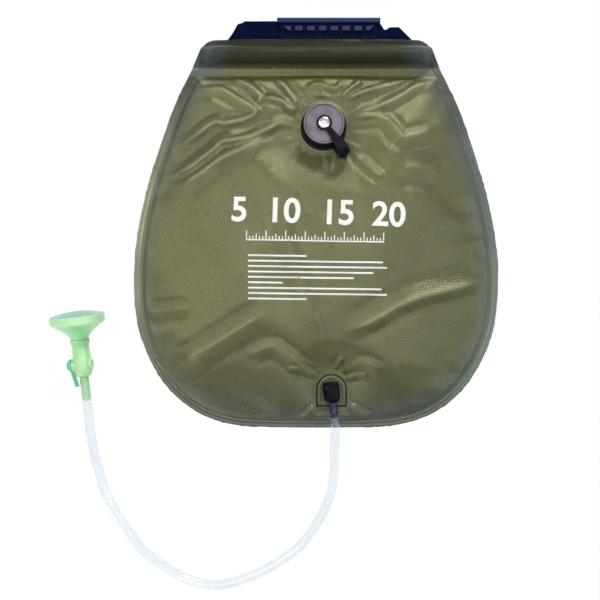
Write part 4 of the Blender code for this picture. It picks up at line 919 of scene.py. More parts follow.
def chamber_points(spacing, top_x, rim_steps, rings):
    """Flat points along the chamber's rim and round its fittings.

    Gives the points, and the loops of the chamber's edge and of its holes as indices.
    """
    lower = even_points(RIM[np.argmax(RIM[:, 1] < TOP_WELD_Y) - 1 :], spacing)
    lower = lower[lower[:, 1] < TOP_WELD_Y - spacing * 0.6]
    edge = np.concatenate([row_at(top_x, TOP_WELD_Y), lower[:-1], lower[::-1] * (-1, 1)])
    points = list(edge)
    loops = [list(range(len(edge)))]
    normals = np.roll(edge, -1, axis=0) - np.roll(edge, 1, axis=0)
    normals = np.stack([normals[:, 1], -normals[:, 0]], axis=1)
    normals /= np.linalg.norm(normals, axis=1)[:, None]
    for step in rim_steps:
        ring = (edge + normals * step)[len(top_x) :]
        points += list(ring[ring[:, 1] < TOP_WELD_Y - 0.0006])
    for centre, radii, count in rings:
        for number, radius in enumerate(radii):
            turns = turns_round(count) + 0.5 * number * 2 * pi / count
            if number == 0:
                loops.append(list(range(len(points), len(points) + count)))
            spokes = np.stack([radius * np.cos(turns), radius * np.sin(turns)], axis=1)
            points += list(spokes + (centre.x, centre.y))
    return np.array(points), loops


def fill_chamber(spacing, top_x, rim_steps, rings=(), extra=()):
    """A flat triangle net over the chamber, as points and triangles, with holes inside its rings."""
    points, loops = chamber_points(spacing, top_x, rim_steps, rings)
    points = np.concatenate([points, *extra])
    tree = kdtree.KDTree(len(points))
    for number, point in enumerate(points):
        tree.insert((*point, 0.0), number)
    tree.balance()
    rows = []
    for number, y in enumerate(np.arange(BAG_BOTTOM, TOP_WELD_Y, spacing * 0.866)):
        rows.append(row_at(np.arange(-0.23, 0.23, spacing) + (spacing / 2 if number % 2 else 0.0), y))
    grid = np.concatenate(rows)
    edge = points[loops[0]]
    grid = grid[inside(grid, edge)]
    grid = grid[rim_distance(grid) > max(rim_steps) + spacing * 0.5]
    grid = grid[np.array([tree.find((x, y, 0.0))[2] > spacing * 0.55 for x, y in grid])]
    for centre, radii, _ in rings:
        grid = grid[away_from(grid, centre) > max(radii)]
    every = np.concatenate([points, grid])
    edges = [(loop[i], loop[(i + 1) % len(loop)]) for loop in loops for i in range(len(loop))]
    found = geometry.delaunay_2d_cdt([Vector(point) for point in every], edges, [], 0, 1e-7)
    flat = np.array([tuple(point) for point in found[0]])
    triangles = np.array([face for face in found[2] if len(face) == 3])
    middles = flat[triangles].mean(axis=1)
    keep = inside(middles, edge)
    for centre, radii, _ in rings:
        keep &= away_from(middles, centre) > radii[0] * 0.999
    return flat, triangles[keep]


def sheet_mesh(name, flat, heights, triangles, rows, skip=()):
    """One film: its chamber's net and the rows of its hem, joined along the top weld."""
    build = bmesh.new()
    chamber = [build.verts.new((x, y, z)) for (x, y), z in zip(flat, heights)]
    for triangle in triangles:
        build.faces.new([chamber[i] for i in triangle])
    net = [[build.verts.new(point) for point in row] for row in rows]
    for i, (first, second) in enumerate(zip(net, net[1:])):
        for j in range(len(first) - 1):
            if (i, j) not in skip:
                build.faces.new((first[j], first[j + 1], second[j + 1], second[j]))
    bmesh.ops.remove_doubles(build, verts=build.verts, dist=0.00002)
    for vert in [vert for vert in build.verts if not vert.link_faces]:
        build.verts.remove(vert)
    for face in build.faces:
        face.normal_update()
        if face.normal.z < -0.2:
            face.normal_flip()
    mesh = bpy.data.meshes.new(name)
    write_back(build, mesh, outward=False)
    made = link_new(name, mesh)

    # What the finish needs to know of each point: the rim, the hem, and where it gets painted reflection and
    # painted shade
    points = np.array([vert.co for vert in mesh.vertices])[:, :2]
    x, y = points[:, 0], points[:, 1]
    rim = rim_distance(points)
    under_hem = fall(y, 0.190, 0.014)
    low_right = ease(0.5 + x / 0.22 * 0.6 - (y + 0.02) / 0.24 * 0.5)
    corners = rise(np.abs(x), 0.100, 0.035) * rise(y, 0.185, 0.012)
    near_rim = fall(rim, 0.0, 0.042) * under_hem
    shade = np.maximum(0.55 + 0.45 * low_right, 0.85 * rise(y, 0.060, 0.080))
    store(made, "rim", rim)
    store(made, "hem", rise(y, 0.2046, 0.0030))
    store(made, "band", rise(y, 0.1950, 0.0010) * fall(y, 0.2040, 0.0020))
    # Painted reflection: a bluish sheen near the rim, strongest low on the right, and in the hem's corners
    store(made, "cast", np.maximum(near_rim * shade, corners * 0.85))
    # Painted shade along the rim by the hem's corners, darker on the left
    painted_rim_shade = fall(rim, 0.004, 0.034) * under_hem * rise(y, 0.105, 0.035)
    store(made, "painted_rim_shade", painted_rim_shade * np.where(x < 0, 0.95, 0.45))
    store(made, "patch", patch_distance(points) if name == "front_sheet" else np.ones(len(points)))
    # Painted shade: the film darker towards the bottom
    store(made, "low", rise(-y, 0.130, 0.105))
    return made


def close_sheet(made, slot, finish, node):
    """Give a film its wall and its finish. Gives the area it had as a plain surface."""
    area = sum(face.area for face in made.data.polygons)
    modify(made, "SOLIDIFY", thickness=FILM, offset=1.0, use_quality_normals=True)
    hand_over(made, "bag", slot, finish, node)
    return area


def build_front_film(settings):
    """The olive film: crowned and creased over the chamber, welded at its rim, sleeved over the tube."""
    shares = hem_shares(0.0023)
    rim_steps = (
        0.0005, 0.0011, 0.0018, 0.0027, 0.0040, 0.0052, 0.0058, 0.0064, 0.0070, 0.0077, 0.0085, 0.0095,
        0.0108,
    )
    filler_radii = (
        FILLER_HOLE_R, 0.0235, 0.0260, 0.0280, 0.0287, 0.0292, 0.0297, 0.0303, 0.0309, 0.0314, 0.0320, 0.0327,
        0.0336, 0.0347,
    )
    rings = [(FILLER, filler_radii, 120), (OUTLET, (OUTLET_HOLE_R, 0.0082, 0.0100), 40)]
    extra = [even_points(crease_line(line), settings.film_step * 0.8) for _, _, _, line in CREASES]
    for out in (-0.0054, -0.0047, -0.0042, -0.0037, -0.0030, -0.0004, 0.0, 0.0004, 0.0008, 0.0013, 0.0020):
        reach = PATCH_R + out
        foot = -PATCH_TAIL - out
        arch = [(reach * cos(turn), reach * sin(turn)) for turn in np.linspace(0, pi, 49)]
        loop = np.array([(reach, foot), *arch, (-reach, foot), (reach, foot)])
        extra.append(even_points(loop, 0.0012)[:-1] + (OUTLET.x, OUTLET.y))
    top_x = hem_columns(TOP_WELD_Y, shares)
    flat, triangles = fill_chamber(settings.film_step, top_x, rim_steps, rings, extra)
    made = sheet_mesh("front_sheet", flat, front_height(flat, settings), triangles, hem_rows(shares))
    spots = np.array([vert.co[:2] for vert in made.data.vertices])
    crests, troughs = creases_at(spots)
    # Painted highlight on the creases' crests
    store(made, "crest_highlight", np.minimum(crests / 0.0026, 1.0) ** 3 * (spots[:, 1] < TOP_WELD_Y))
    # Painted shade in the troughs beside the creases
    store(made, "trough_shade", np.minimum(troughs / 0.0006, 1.0) * (spots[:, 1] < TOP_WELD_Y))
    finish = film_finish("olive_film", settings, settings.film_colour, 0.80)
    area = close_sheet(made, "olive_film", finish, "front_film")
    return made


def build_back_film(settings):
    """The black film: flat on the ground, with shallow dents, and up to the flap round the strap's loops."""
    steady = hem_shares(0.0040) / HEM_SHARE * HEM_STEADY
    for side in (-1, 1):
        for end in (-1, 1):
            x = HANDLE_X + side * LEG_SPREAD + end * NOTCH_HALF
            steady[np.abs(steady - x).argmin()] = x
    shares = steady / HEM_STEADY * HEM_SHARE
    bend = TUBE_Y + 0.0018
    before, after = TUBE_Y - NOTCH_REACH, TUBE_Y + NOTCH_REACH
    stops = [*np.linspace(TOP_WELD_Y, before, 4), *np.linspace(before, bend, 4)[1:]]
    stops += [*np.linspace(bend, after, 4)[1:], FLAP_START_Y, 0.2349, FLAP_END_Y]
    rows = []
    for y in stops:
        points = row_at(hem_columns(y, shares), y)
        lift = flap_height(points[:, 0]) * share_between(y, bend, FLAP_START_Y)
        rows.append(np.column_stack([points, lift + rim_lift(points, rim_distance(points))]))
    notches = set()
    for i, (low, high) in enumerate(zip(stops, stops[1:])):
        x = hem_columns((low + high) / 2, shares)
        for j, middle in enumerate((x[:-1] + x[1:]) / 2):
            beside = abs(abs(middle - HANDLE_X) - LEG_SPREAD)
            if beside < NOTCH_HALF and abs((low + high) / 2 - TUBE_Y) < NOTCH_REACH:
                notches.add((i, j))
    top_x = hem_columns(TOP_WELD_Y, shares)
    flat, triangles = fill_chamber(0.0042, top_x, (0.0008, 0.0020, 0.0040, 0.0060, 0.0080, 0.0105))
    rim = rim_distance(flat)
    dents = 0.0009 * np.clip(gentle_noise(flat * (1.0, 1.4), 31, 0.05), 0, 1) * rise(rim, 0.016, 0.02)
    dents *= rise(TOP_WELD_Y - flat[:, 1], 0.004, 0.02)
    made = sheet_mesh("back_sheet", flat, dents + rim_lift(flat, rim), triangles, rows, notches)
    finish = film_finish("black_film", settings, settings.back_colour, 0.7)
    area = close_sheet(made, "black_film", finish, "back_film")


# ---- The hose ----

def handset_frame():
    """The place and turn of the hand shower's own frame: Z along it, from its tail to its spray plate."""
    turn = Matrix.Rotation(HANDSET_TURN, 4, "Z") @ Matrix.Rotation(-(pi / 2 - HANDSET_RISE), 4, "X")
    return Matrix.Translation(HANDSET_TIP) @ turn


def hose_line():
    """The hose's centre line: over the outlet's barb, round the photographed sweep and over the tail barb."""
    run = np.array((cos(OUTLET_ANGLE), sin(OUTLET_ANGLE), 0.0))
    shoulder = np.array((OUTLET.x, OUTLET.y, BARB_Z)) + run * (ELBOW_REACH + GAP)
    start = shoulder + run * OUTLET_BARB
    place = handset_frame()
    end = np.array(place @ Vector((0.0, 0.0, -GAP)))
    axis = np.array(place.to_3x3() @ Vector((0.0, 0.0, 1.0)))
    tail = np.array(place @ Vector((0.0, 0.0, TAIL_BARB - GAP)))
    route = [start, start + run * HOSE_R * 2, *np.array(HOSE_ROUTE), end - axis * HOSE_R * 2, end]
    free = even_points(smooth_curve(route, 12), 0.0035)
    first = even_points(np.array([shoulder, start]), 0.0007)[:-1]
    last = even_points(np.array([end, tail]), 0.0007)[1:]
    return np.concatenate([first, free, last])


def build_hose(settings):
    """The clear hose with its real wall, stretched a little over the rings of both barbs."""
    line = hose_line()
    lengths = run_lengths(line)
    total = lengths[-1]
    bore = np.full(len(line), HOSE_BORE_R)
    outer = np.full(len(line), HOSE_R)
    for reach, barb, rings in (
        (lengths, OUTLET_BARB, (0.0035, 0.0115)), (total - lengths, TAIL_BARB, (0.0050, 0.0090, 0.0130)),
    ):
        bore += (GRIPPED_BORE_R - HOSE_BORE_R) * fall(reach - barb, -0.0002, 0.0012)
        for ring in rings:
            outer += 0.00035 * hump(reach, ring, 0.0011)
    rings = np.concatenate([piped_rings(line, outer), piped_rings(line, bore)[::-1]])
    made = skin("hose_clear", rings, loop=True, sharp=50.0)
    finish = hose_finish(settings.hose_colour)
    hand_over(made, "bag", "clear_hose", finish, "hose", "hose_cuff_outlet", "hose_cuff_handset")
    made.visible_shadow = False
    made.visible_diffuse = False


# ---- The handle ----

def fold_over(points, at, away, radius):
    """Fold a flat strip under itself along a line: at is on the line, and away points square to it."""
    past = (points[:, :2] - at) @ away
    bent = past > 0
    turn = np.minimum(past, pi * radius) / radius
    flat = np.where(past > pi * radius, -(past - pi * radius), radius * np.sin(turn))
    moved = points[:, :2] + away * (flat - past)[:, None]
    folded = points.copy()
    folded[bent, :2] = moved[bent]
    folded[bent, 2] -= (radius * (1.0 - np.cos(turn)))[bent]
    return folded


def loop_line():
    """The strap's way from its folded leg round the tube, as (y, z)."""
    line = [(0.2360, STRAP_MID_Z - 0.0018), (0.2290, 0.0011), (0.2220, 0.00085)]
    for turn in np.radians(np.arange(-90, -412, -8)):
        line.append((TUBE_Y + LOOP_R * cos(turn), TUBE_Z + LOOP_R * sin(turn)))
    return np.array(line)


def build_strap(settings):
    """The webbing: through the grip, pinched beside it, folded under at both corners, round the tube."""
    half = STRAP_WIDTH / 2
    line = loop_line()
    lengths = run_lengths(line)
    total = LEG_SPREAD + STRAP_Y - line[0, 0] + lengths[-1] + 0.0028
    along = np.linspace(-total - CORNER_SHIFT[-1], total + CORNER_SHIFT[1], int(2 * total / 0.0008))
    across = np.linspace(-half, half, 30)
    u, v = (part.ravel() for part in np.meshgrid(along, across, indexing="ij"))
    points = np.stack([u, STRAP_Y + v, np.full(u.size, STRAP_MID_Z)], axis=1)
    points[:, 2] += 0.0002 * np.sin(points[:, 0] * 90) * fall(np.abs(points[:, 0]), 0.07, 0.02)

    # The pinch between the grip and the right corner
    share = (v + half) / (2 * half)
    pinch = hump(points[:, 0], 0.0826, 0.0042)
    slope = rise(points[:, 0], 0.0800, 0.0080)
    points[:, 1] -= (0.0078 * pinch + 0.0074 * slope) * share
    points[:, 2] += 0.0002 * (pinch + slope) * np.sin(pi * share) ** 2
    for side in (-1, 1):
        reach = LEG_SPREAD + CORNER_SHIFT[side] - pi * STRAP_FOLD_R / 2**0.5
        at = np.array((side * reach, STRAP_Y))
        away = np.array((side, 1.0)) / 2**0.5
        points = fold_over(points, at, away, STRAP_FOLD_R)
        if side < 0:
            # The left corner's fold swells in one place and draws in at another
            slip = (points[:, :2] - at) @ np.array((1.0, 1.0)) / 2**0.5
            swell = 0.0034 * hump(slip, 0.0090, 0.0085) - 0.0016 * hump(slip, -0.014, 0.008)
            swell *= rise(-points[:, 0], 0.0912, 0.006)
            points[:, :2] += away * (hump((points[:, :2] - at) @ away, 0.0, 0.012) * swell)[:, None]
        leg = (points[:, 1] < BAG_TOP) & (u * side > LEG_SPREAD + half)
        points[leg, 0] -= side * CORNER_SHIFT[side] * fall(points[leg, 1], 0.2270, 0.0115)
    legs = (points[:, 1] < line[0, 0]) & (np.abs(u) > LEG_SPREAD + half)
    reach = line[0, 0] - points[legs, 1]
    for axis in (0, 1):
        points[legs, axis + 1] = np.interp(reach, lengths, line[:, axis])
    points[:, 0] += HANDLE_X
    made = skin("webbing_strap", points.reshape(len(along), len(across), 3), around=False)
    corners = np.zeros(len(made.data.loops), int)
    made.data.loops.foreach_get("vertex_index", corners)
    flat = np.stack([u, v], axis=1)[corners]
    made.data.uv_layers.new(name="weave").data.foreach_set("uv", flat.ravel().astype(np.float32))
    made.data.shade_smooth()
    modify(made, "SOLIDIFY", thickness=STRAP_THICK * 0.92, offset=0.0, use_quality_normals=True)
    hand_over(made, "handle", "navy_webbing", webbing_finish(settings), "handle_strap")


def build_grip(settings):
    """The moulded grip and its rail, with a pale pad in the upper part of each window as a painted
    reflection.
    """
    navy = plastic_finish("navy_grip", settings.grip_colour, 0.48, shine=0.05)
    polished("grip_channel", "handle_grip", 0.0005, navy, "grip", "navy_grip")
    # The rail's lighter navy is the grip's navy painted lighter, a painted highlight on its rounded top
    rail = plastic_finish("navy_rail", settings.rail_lit_colour, 0.38, shine=0.25)
    polished("grip_rail_moulding", "grip_rail", 0.0004, rail, "grip", "navy_grip")
    high = STRAP_Y + WINDOW_HEIGHT / 2 + 0.0002
    low = high - WINDOW_HEIGHT * 0.48
    pads = []
    for index in range(WINDOW_COUNT):
        middle = GRIP_X + (index - (WINDOW_COUNT - 1) / 2) * WINDOW_PITCH
        left = middle - WINDOW_WIDTH / 2 + 0.0004
        right = middle + WINDOW_WIDTH / 2 - 0.0004
        slants = [WINDOW_SLANT * 1.5 if index == end else 0.0006 for end in (0, WINDOW_COUNT - 1)]
        corners = [(left, high), (left + slants[0], low), (right - slants[1], low), (right, high)]
        loop = rounded(corners, 0.0012, steps=5)
        rings = [
            [(x, y, z - (high - y) * PAD_SLOPE) for x, y in loop]
            for z in (GRIP_TOP - 0.0016, GRIP_TOP - 0.0005)
        ]
        centre = Vector((middle, (high + low) / 2))
        rings.append([
            (*(centre + (point - centre) * 0.90), GRIP_TOP - 0.0003 - (high - point.y) * PAD_SLOPE)
            for point in loop
        ])
        pads.append(skin(f"pad_{index}", rings, caps=True))
    made = pads[0]
    made.name = "grip_pads"
    merge(made, extra=pads[1:])
    # The pads' pale lavender is a painted reflection in the windows
    pale = plastic_finish("lavender_pad", settings.pad_sheen_colour, 0.50, shine=0.12)
    hand_over(made, "grip", "navy_grip", pale)


# ---- The printing ----

def flat_text(words, size, x, y, turn):
    """Filled numerals, flat, with their middle at a place."""
    curve = bpy.data.curves.new("numerals", "FONT")
    curve.body = words
    curve.size = size
    curve.offset = size * 0.022
    curve.align_x = curve.align_y = "CENTER"
    source = link_new("numerals", curve)
    bpy.context.view_layer.update()
    mesh = bpy.data.meshes.new_from_object(source.evaluated_get(bpy.context.evaluated_depsgraph_get()))
    bpy.data.objects.remove(source, do_unlink=True)
    bpy.data.curves.remove(curve)
    mesh.transform(Matrix.Translation((x, y, 0.0)) @ Matrix.Rotation(turn, 4, "Z"))
    return mesh


def flat_bar(build, x0, x1, y0, y1, turn, centre):
    """A filled rule, turned about a centre."""
    spin = Matrix.Rotation(turn, 2)
    level = ((x0, y0), (x1, y0), (x1, y1), (x0, y1))
    corners = [centre + spin @ (Vector(corner) - centre) for corner in level]
    build.faces.new([build.verts.new((*corner, 0.0)) for corner in corners])


def build_print(sheet, settings):
    """White numbers, a scale and plain rules, printed on the front film and following its folds."""
    build = bmesh.new()
    for words, x in NUMERALS:
        mesh = flat_text(words, NUMERAL_SIZE, x, 0.0215 - (x + 0.002) * 0.035, radians(-2.0))
        build.from_mesh(mesh)
        bpy.data.meshes.remove(mesh)
    centre = Vector((-0.0017, -0.0071))
    flat_bar(build, SCALE_LEFT, 0.0822, -0.0134, -0.0118, radians(-1.0), centre)
    for number in range(SCALE_TICKS):
        x = SCALE_LEFT + number * (SCALE_LENGTH - TICK_WIDTH) / (SCALE_TICKS - 1)
        top = -0.0012 if number % 6 == 0 else (-0.0052 if number % 3 == 0 else -0.0078)
        flat_bar(build, x, x + TICK_WIDTH, -0.0120, top, radians(-1.0), centre)
    for number, share in enumerate(RULES):
        y = -0.0312 - number * RULE_PITCH
        right = RULE_LEFT + RULE_LENGTH * share
        flat_bar(build, RULE_LEFT, right, y - 0.0011, y + 0.0011, radians(-0.8), Vector((0.0, y)))

    # Cut the ink into small cells, so that it can follow the film
    for axis, low, high in ((0, -0.13, 0.13), (1, -0.10, 0.06)):
        for place in np.arange(low, high, 0.0019):
            at, across = [0.0, 0.0, 0.0], [0.0, 0.0, 0.0]
            at[axis], across[axis] = place, 1.0
            every = [*build.verts, *build.edges, *build.faces]
            bmesh.ops.bisect_plane(build, geom=every, plane_co=at, plane_no=across)
    ground = BVHTree.FromObject(sheet, bpy.context.evaluated_depsgraph_get())
    for vert in build.verts:
        spot = ground.ray_cast(Vector((vert.co.x, vert.co.y, 0.1)), Vector((0, 0, -1)))[0]
        vert.co.z = spot.z + INK_LIFT
    mesh = bpy.data.meshes.new("print_white")
    write_back(build, mesh, outward=False)
    made = link_new("print_white", mesh)
    modify(made, "SOLIDIFY", thickness=0.00020, offset=-1.0)
    hand_over(made, "bag", "white_tube", print_finish(settings.print_colour))


# ---- Filler ----

def build_neck(finish):
    """The neck with its screw thread and the flange under the film."""
    film, low = FILLER_FILM_Z - GAP, FILLER_FILM_Z - GAP - 0.0015
    thread_start = COLLAR_TOP + 0.0006
    base = [
        (NECK_BORE_R, low), (FLANGE_R, low), (FLANGE_R, film), (BOSS_R, film), (BOSS_R, COLLAR_TOP),
        (NECK_R, COLLAR_TOP), (NECK_R, thread_start),
    ]
    profile = [
        *rounded(base, 0.0003, closed=False),
        *[(NECK_R, height) for height in np.arange(thread_start, NECK_TOP - 0.0007, 0.00025)],
        (NECK_R - 0.0002, NECK_TOP - 0.0004), (NECK_R - 0.0007, NECK_TOP), (NECK_BORE_R + 0.0006, NECK_TOP),
        (NECK_BORE_R, NECK_TOP - 0.0006),
    ]

    def thread(radius, height, turns):
        if radius < NECK_R or radius > BOSS_R - 0.0001 or height < thread_start:
            return radius
        place = ((height - turns / (2 * pi) * CAP_PITCH) / CAP_PITCH) % 1.0
        tooth = np.clip(1.4 - np.abs(place - 0.5) / 0.16, 0.0, 1.0)
        ends = rise(height - COLLAR_TOP, 0.002, 0.002) * ease((NECK_TOP - 0.001 - height) / 0.002)
        return radius + 0.0007 * tooth * ends

    made = turned("neck_threaded", profile, 128, thread, AT_FILLER)
    hand_over(made, "bag", "black_plastic", finish, "filler_neck")


def build_cap(finish):
    """The screw cap: a ribbed skirt under a smooth lip, with a slightly dished top."""
    lip = (
        (-0.0001, -0.0018), (0.0, -0.0012), (0.0003, -0.0003), (0.0008, 0.0004), (0.0014, 0.0006),
        (0.0020, 0.0003), (0.0026, -0.0001), (0.0060, -0.0002),
    )
    profile = [
        (0.0, CAP_CEILING), (CAP_BORE_R - 0.0008, CAP_CEILING), (CAP_BORE_R, CAP_CEILING - 0.0008),
        (CAP_BORE_R, CAP_BOTTOM_Z + 0.0004), (CAP_BORE_R + 0.0004, CAP_BOTTOM_Z),
        (CAP_R - 0.0004, CAP_BOTTOM_Z),
        *[(CAP_R, height) for height in np.linspace(CAP_BOTTOM_Z + 0.0006, CAP_TOP_Z - 0.0026, 12)],
        *[(CAP_R - inwards, CAP_TOP_Z + up) for inwards, up in lip],
        (0.0128, CAP_TOP_Z - 0.0001), (0.0118, CAP_TOP_Z), (0.0, CAP_TOP_Z),
    ]

    def ribs(radius, height, turns):
        if radius < CAP_R - 0.0001 or height > CAP_TOP_Z - 0.0022:
            return radius
        deep = 0.0008 * ease((CAP_TOP_Z - 0.0024 - height) / 0.0015)
        return radius - deep * (0.5 - 0.5 * np.cos(turns * CAP_RIBS)) ** 2

    made = turned("cap_screw", profile, CAP_RIBS * 8, ribs, AT_FILLER)
    hand_over(made, "cap", "black_plastic", finish, "filler_cap")


def build_rivet(finish):
    """The bright rivet: a domed head with a dimple, and its shank."""
    dimple = ((0.0, 0.42), (0.0009, 0.46), (0.0016, 0.62), (0.0021, 0.86), (0.0025, 0.95))
    leans = np.radians(np.arange(24, 88, 6))
    dome = [(RIVET_R * sin(lean), 0.12 + 0.88 * cos(lean) ** 0.8) for lean in leans]
    profile = [
        *[(radius, RIVET_Z + RIVET_HEAD * up) for radius, up in (*dimple, *dome)],
        (RIVET_R, RIVET_Z + 0.0001), (RIVET_R - 0.0002, RIVET_Z), (SHANK_R, RIVET_Z),
        (SHANK_R, CAP_CEILING + 0.0014), (0.0022, CAP_CEILING + 0.0012), (0.0, CAP_CEILING + 0.0012),
    ]
    made = turned("rivet_head", profile, 72, place=AT_FILLER)
    hand_over(made, "cap", "bright_metal", finish, "tether_rivet")


def tether_stations():
    """The tether's middle line as (reach, height, thickness, width), from the cap's top to its foot."""
    top = EYE_Z + GAP + TETHER_THICK / 2
    foot = COLLAR_TOP + GAP
    return [
        (0.0070, top, 0.0020, 0.0074), (0.0140, top, 0.0021, 0.0082), (0.0200, top + 0.0004, 0.0022, 0.0098),
        (0.0250, top + 0.0012, 0.0024, 0.0112), (0.0295, top + 0.0008, 0.0030, 0.0124),
        (0.0340, top - 0.0002, 0.0038, 0.0134), (0.0388, top - 0.0034, 0.0050, 0.0142),
        (0.0418, top - 0.0090, 0.0062, 0.0144), (0.0412, foot + 0.0058, 0.0078, 0.0140),
        (0.0402, foot + 0.0026, 0.0096, 0.0132), (TETHER_FOOT, foot, 0.0100, 0.0124),
    ]


def build_tether(finish):
    """The rubber tether: an eye under the rivet, a strip down over the cap's edge, and a pegged foot."""
    path = smooth_curve(tether_stations(), 6)
    turns = turns_round(40)
    across, up = squared(np.cos(turns), 2 / 4.5), squared(np.sin(turns), 2 / 4.5)
    runs = np.gradient(path[:, :2], axis=0)
    runs /= np.linalg.norm(runs, axis=1)[:, None]
    runs[-1] = (0.0, -1.0)
    rings = []
    for (reach, height, thick, width), run in zip(path, runs):
        x = reach - run[1] * up * thick / 2
        z = height + run[0] * up * thick / 2
        rings.append(np.stack([x, across * width / 2, z], axis=1))
    made = skin("rubber_tether", rings, caps=True)
    inner = BUSH_R + GAP
    low = EYE_Z + GAP
    high = low + TETHER_THICK
    ring = [(inner, low), (TETHER_EYE_R, low), (TETHER_EYE_R, high), (inner, high)]
    eye = turned("eye", rounded(ring, 0.0006), 64)
    peg_profile = [
        (0.0, COLLAR_TOP - 0.0022), (PEG_R - 0.0004, COLLAR_TOP - 0.0022), (PEG_R, COLLAR_TOP - 0.0018),
        (PEG_R, COLLAR_TOP + 0.002), (0.0, COLLAR_TOP + 0.002),
    ]
    peg = turned("peg", peg_profile, 32, place=Matrix.Translation((TETHER_FOOT, 0.0, 0.0)))
    merge(made, 40.0, [eye, peg])
    put_in_place(made, AT_FILLER @ Matrix.Rotation(TETHER_ANGLE, 4, "Z"))
    hand_over(made, None, "black_rubber", finish, "cap_tether")
    run = Vector((cos(TETHER_ANGLE), sin(TETHER_ANGLE)))
    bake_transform(made)


# ---- Outlet ----

def build_elbow(finish, barb_finish):
    """The elbow: a rounded block over the spigot that draws in to a round shoulder, and its ringed barb."""
    low, top = ELBOW_Z, BARB_Z + 0.0078
    stations = [
        (-0.0101, 0.0052, low + 0.0016, top - 0.0046, 3.0),
        (-0.0098, 0.0074, low + 0.0006, top - 0.0032, 3.2),
        (-0.0088, 0.0090, low + 0.0001, top - 0.0020, 3.4), (-0.0066, 0.0099, low, top - 0.0010, 3.6),
        (-0.0020, 0.0102, low, top - 0.0002, 3.6), (0.0050, 0.0101, low, top, 3.3),
        (0.0085, 0.0097, low + 0.0002, top, 3.0), (0.0115, 0.0088, low + 0.0004, top - 0.0001, 2.6),
        (0.0136, 0.0078, low + 0.0007, top - 0.0004, 2.3), (0.0147, 0.0070, low + 0.0014, top - 0.0011, 2.1),
        (ELBOW_REACH, 0.0060, low + 0.0024, top - 0.0021, 2.0),
    ]
    turns = turns_round(56)
    rings = []
    for along, half, bottom, ceiling, square in smooth_curve(stations, 4):
        across = squared(np.cos(turns), 2 / square) * half
        across = np.where(across < 0, across * 1.10, across * 0.94)
        up = squared(np.sin(turns), 2 / square) * (ceiling - bottom) / 2
        rings.append(np.stack([np.full(len(turns), along), across, (bottom + ceiling) / 2 + up], axis=1))
    made = skin("elbow_moulding", rings, caps=True, sharp=50.0)
    barb = [(BARB_BORE_R, OUTLET_BARB), (BARB_BORE_R, -0.004), (BARB_R, -0.004)]
    for at in (OUTLET_BARB * 0.18, OUTLET_BARB * 0.58):
        barb += [
            (BARB_R, at - 0.0002), (BARB_R + BARB_RISE, at + 0.0004), (BARB_R + BARB_RISE * 0.8, at + 0.0014),
            (BARB_R, at + 0.0032),
        ]
    barb += [
        (BARB_R, OUTLET_BARB - 0.0010), (BARB_R - 0.0004, OUTLET_BARB - 0.0003),
        (BARB_R - 0.0010, OUTLET_BARB),
    ]
    place = Matrix.Translation((OUTLET.x, OUTLET.y, 0.0)) @ Matrix.Rotation(OUTLET_ANGLE, 4, "Z")
    shoulder = Matrix.Translation((ELBOW_REACH, 0.0, BARB_Z)) @ Matrix.Rotation(pi / 2, 4, "Y")
    stem = turned("elbow_barb", barb, 64, place=place @ shoulder)
    put_in_place(made, place)
    hand_over(stem, "bag", "black_plastic", barb_finish, "outlet_elbow")
    hand_over(made, "bag", "black_plastic", finish, "outlet_elbow")


# ---- The stage ----

def build_camera():
    data = bpy.data.cameras.new("view")
    data.sensor_width = SENSOR
    data.lens = CAMERA_HEIGHT * SENSOR / VIEW_WIDTH
    data.clip_start = 0.01
    made = link_new("view", data)
    made.location = (CAMERA_OVER.x, CAMERA_OVER.y, CAMERA_HEIGHT)
    bpy.context.scene.camera = made


def build_floor(settings):
    """A ground that looks plain white, keeps a little shadow, and lights the bag as white paint would."""
    made = new_mesh("ground", [(-3, -3, 0), (3, -3, 0), (3, 3, 0), (-3, 3, 0)], [(0, 1, 2, 3)], outward=False)
    made.location = (0.0, 0.0, -0.0003)
    finish = Finish("ground_white")
    finish.nodes.remove(finish.shader)
    paint = finish.put("BsdfDiffuse", {"Color": (0.86, 0.86, 0.87, 1.0)})
    glow = finish.put("Emission", {"Color": WHITE})
    seen = finish.seen_by("Is Camera Ray", "Is Glossy Ray", "Is Transmission Ray")
    finish.show_as(finish.times(seen, settings.floor_glow), paint, glow, "Material Output")
    made.data.materials.append(finish.material)


def build_world(settings):
    """An even sky that lights the bag and is itself seen as white."""
    world = bpy.data.worlds.new("studio")
    bpy.context.scene.world = world
    world.use_nodes = True
    sky = Nodes(world.node_tree)
    light = sky.nodes["Background"]
    sky.fill(light, {"Color": (0.93, 0.96, 1.0, 1.0), "Strength": settings.sky})
    seen = sky.put("Background", {"Color": WHITE})
    sky.show_as(sky.seen_by("Is Camera Ray", "Is Transmission Ray"), light, seen, "World Output")


def build_lamp(name, place, target, size, power, colour=WHITE[:3]):
    data = bpy.data.lights.new(name, "AREA")
    data.shape = "RECTANGLE"
    data.size, data.size_y = size
    data.energy = power
    data.color = colour
    made = link_new(name, data)
    made.location = place
    made.rotation_euler = (Vector(target) - made.location).to_track_quat("-Z", "Y").to_euler()
    made.visible_camera = False
    made.visible_transmission = False


# ---- The add-on: settings, operators, panel ----

def colour_property(name, description, default):
    return FloatVectorProperty(
        name=name, description=description, subtype="COLOR", size=3, min=0.0, max=1.0, default=default
    )


def length_property(name, description, default, low, high):
    return FloatProperty(
        name=name, description=description, unit="LENGTH", default=default, min=low, max=high
    )


def power_property(name, description, default):
    return FloatProperty(name=name, description=description, subtype="POWER", default=default, min=0.0)


def share_property(name, description, default, high):
    return FloatProperty(name=name, description=description, default=default, min=0.0, max=high)


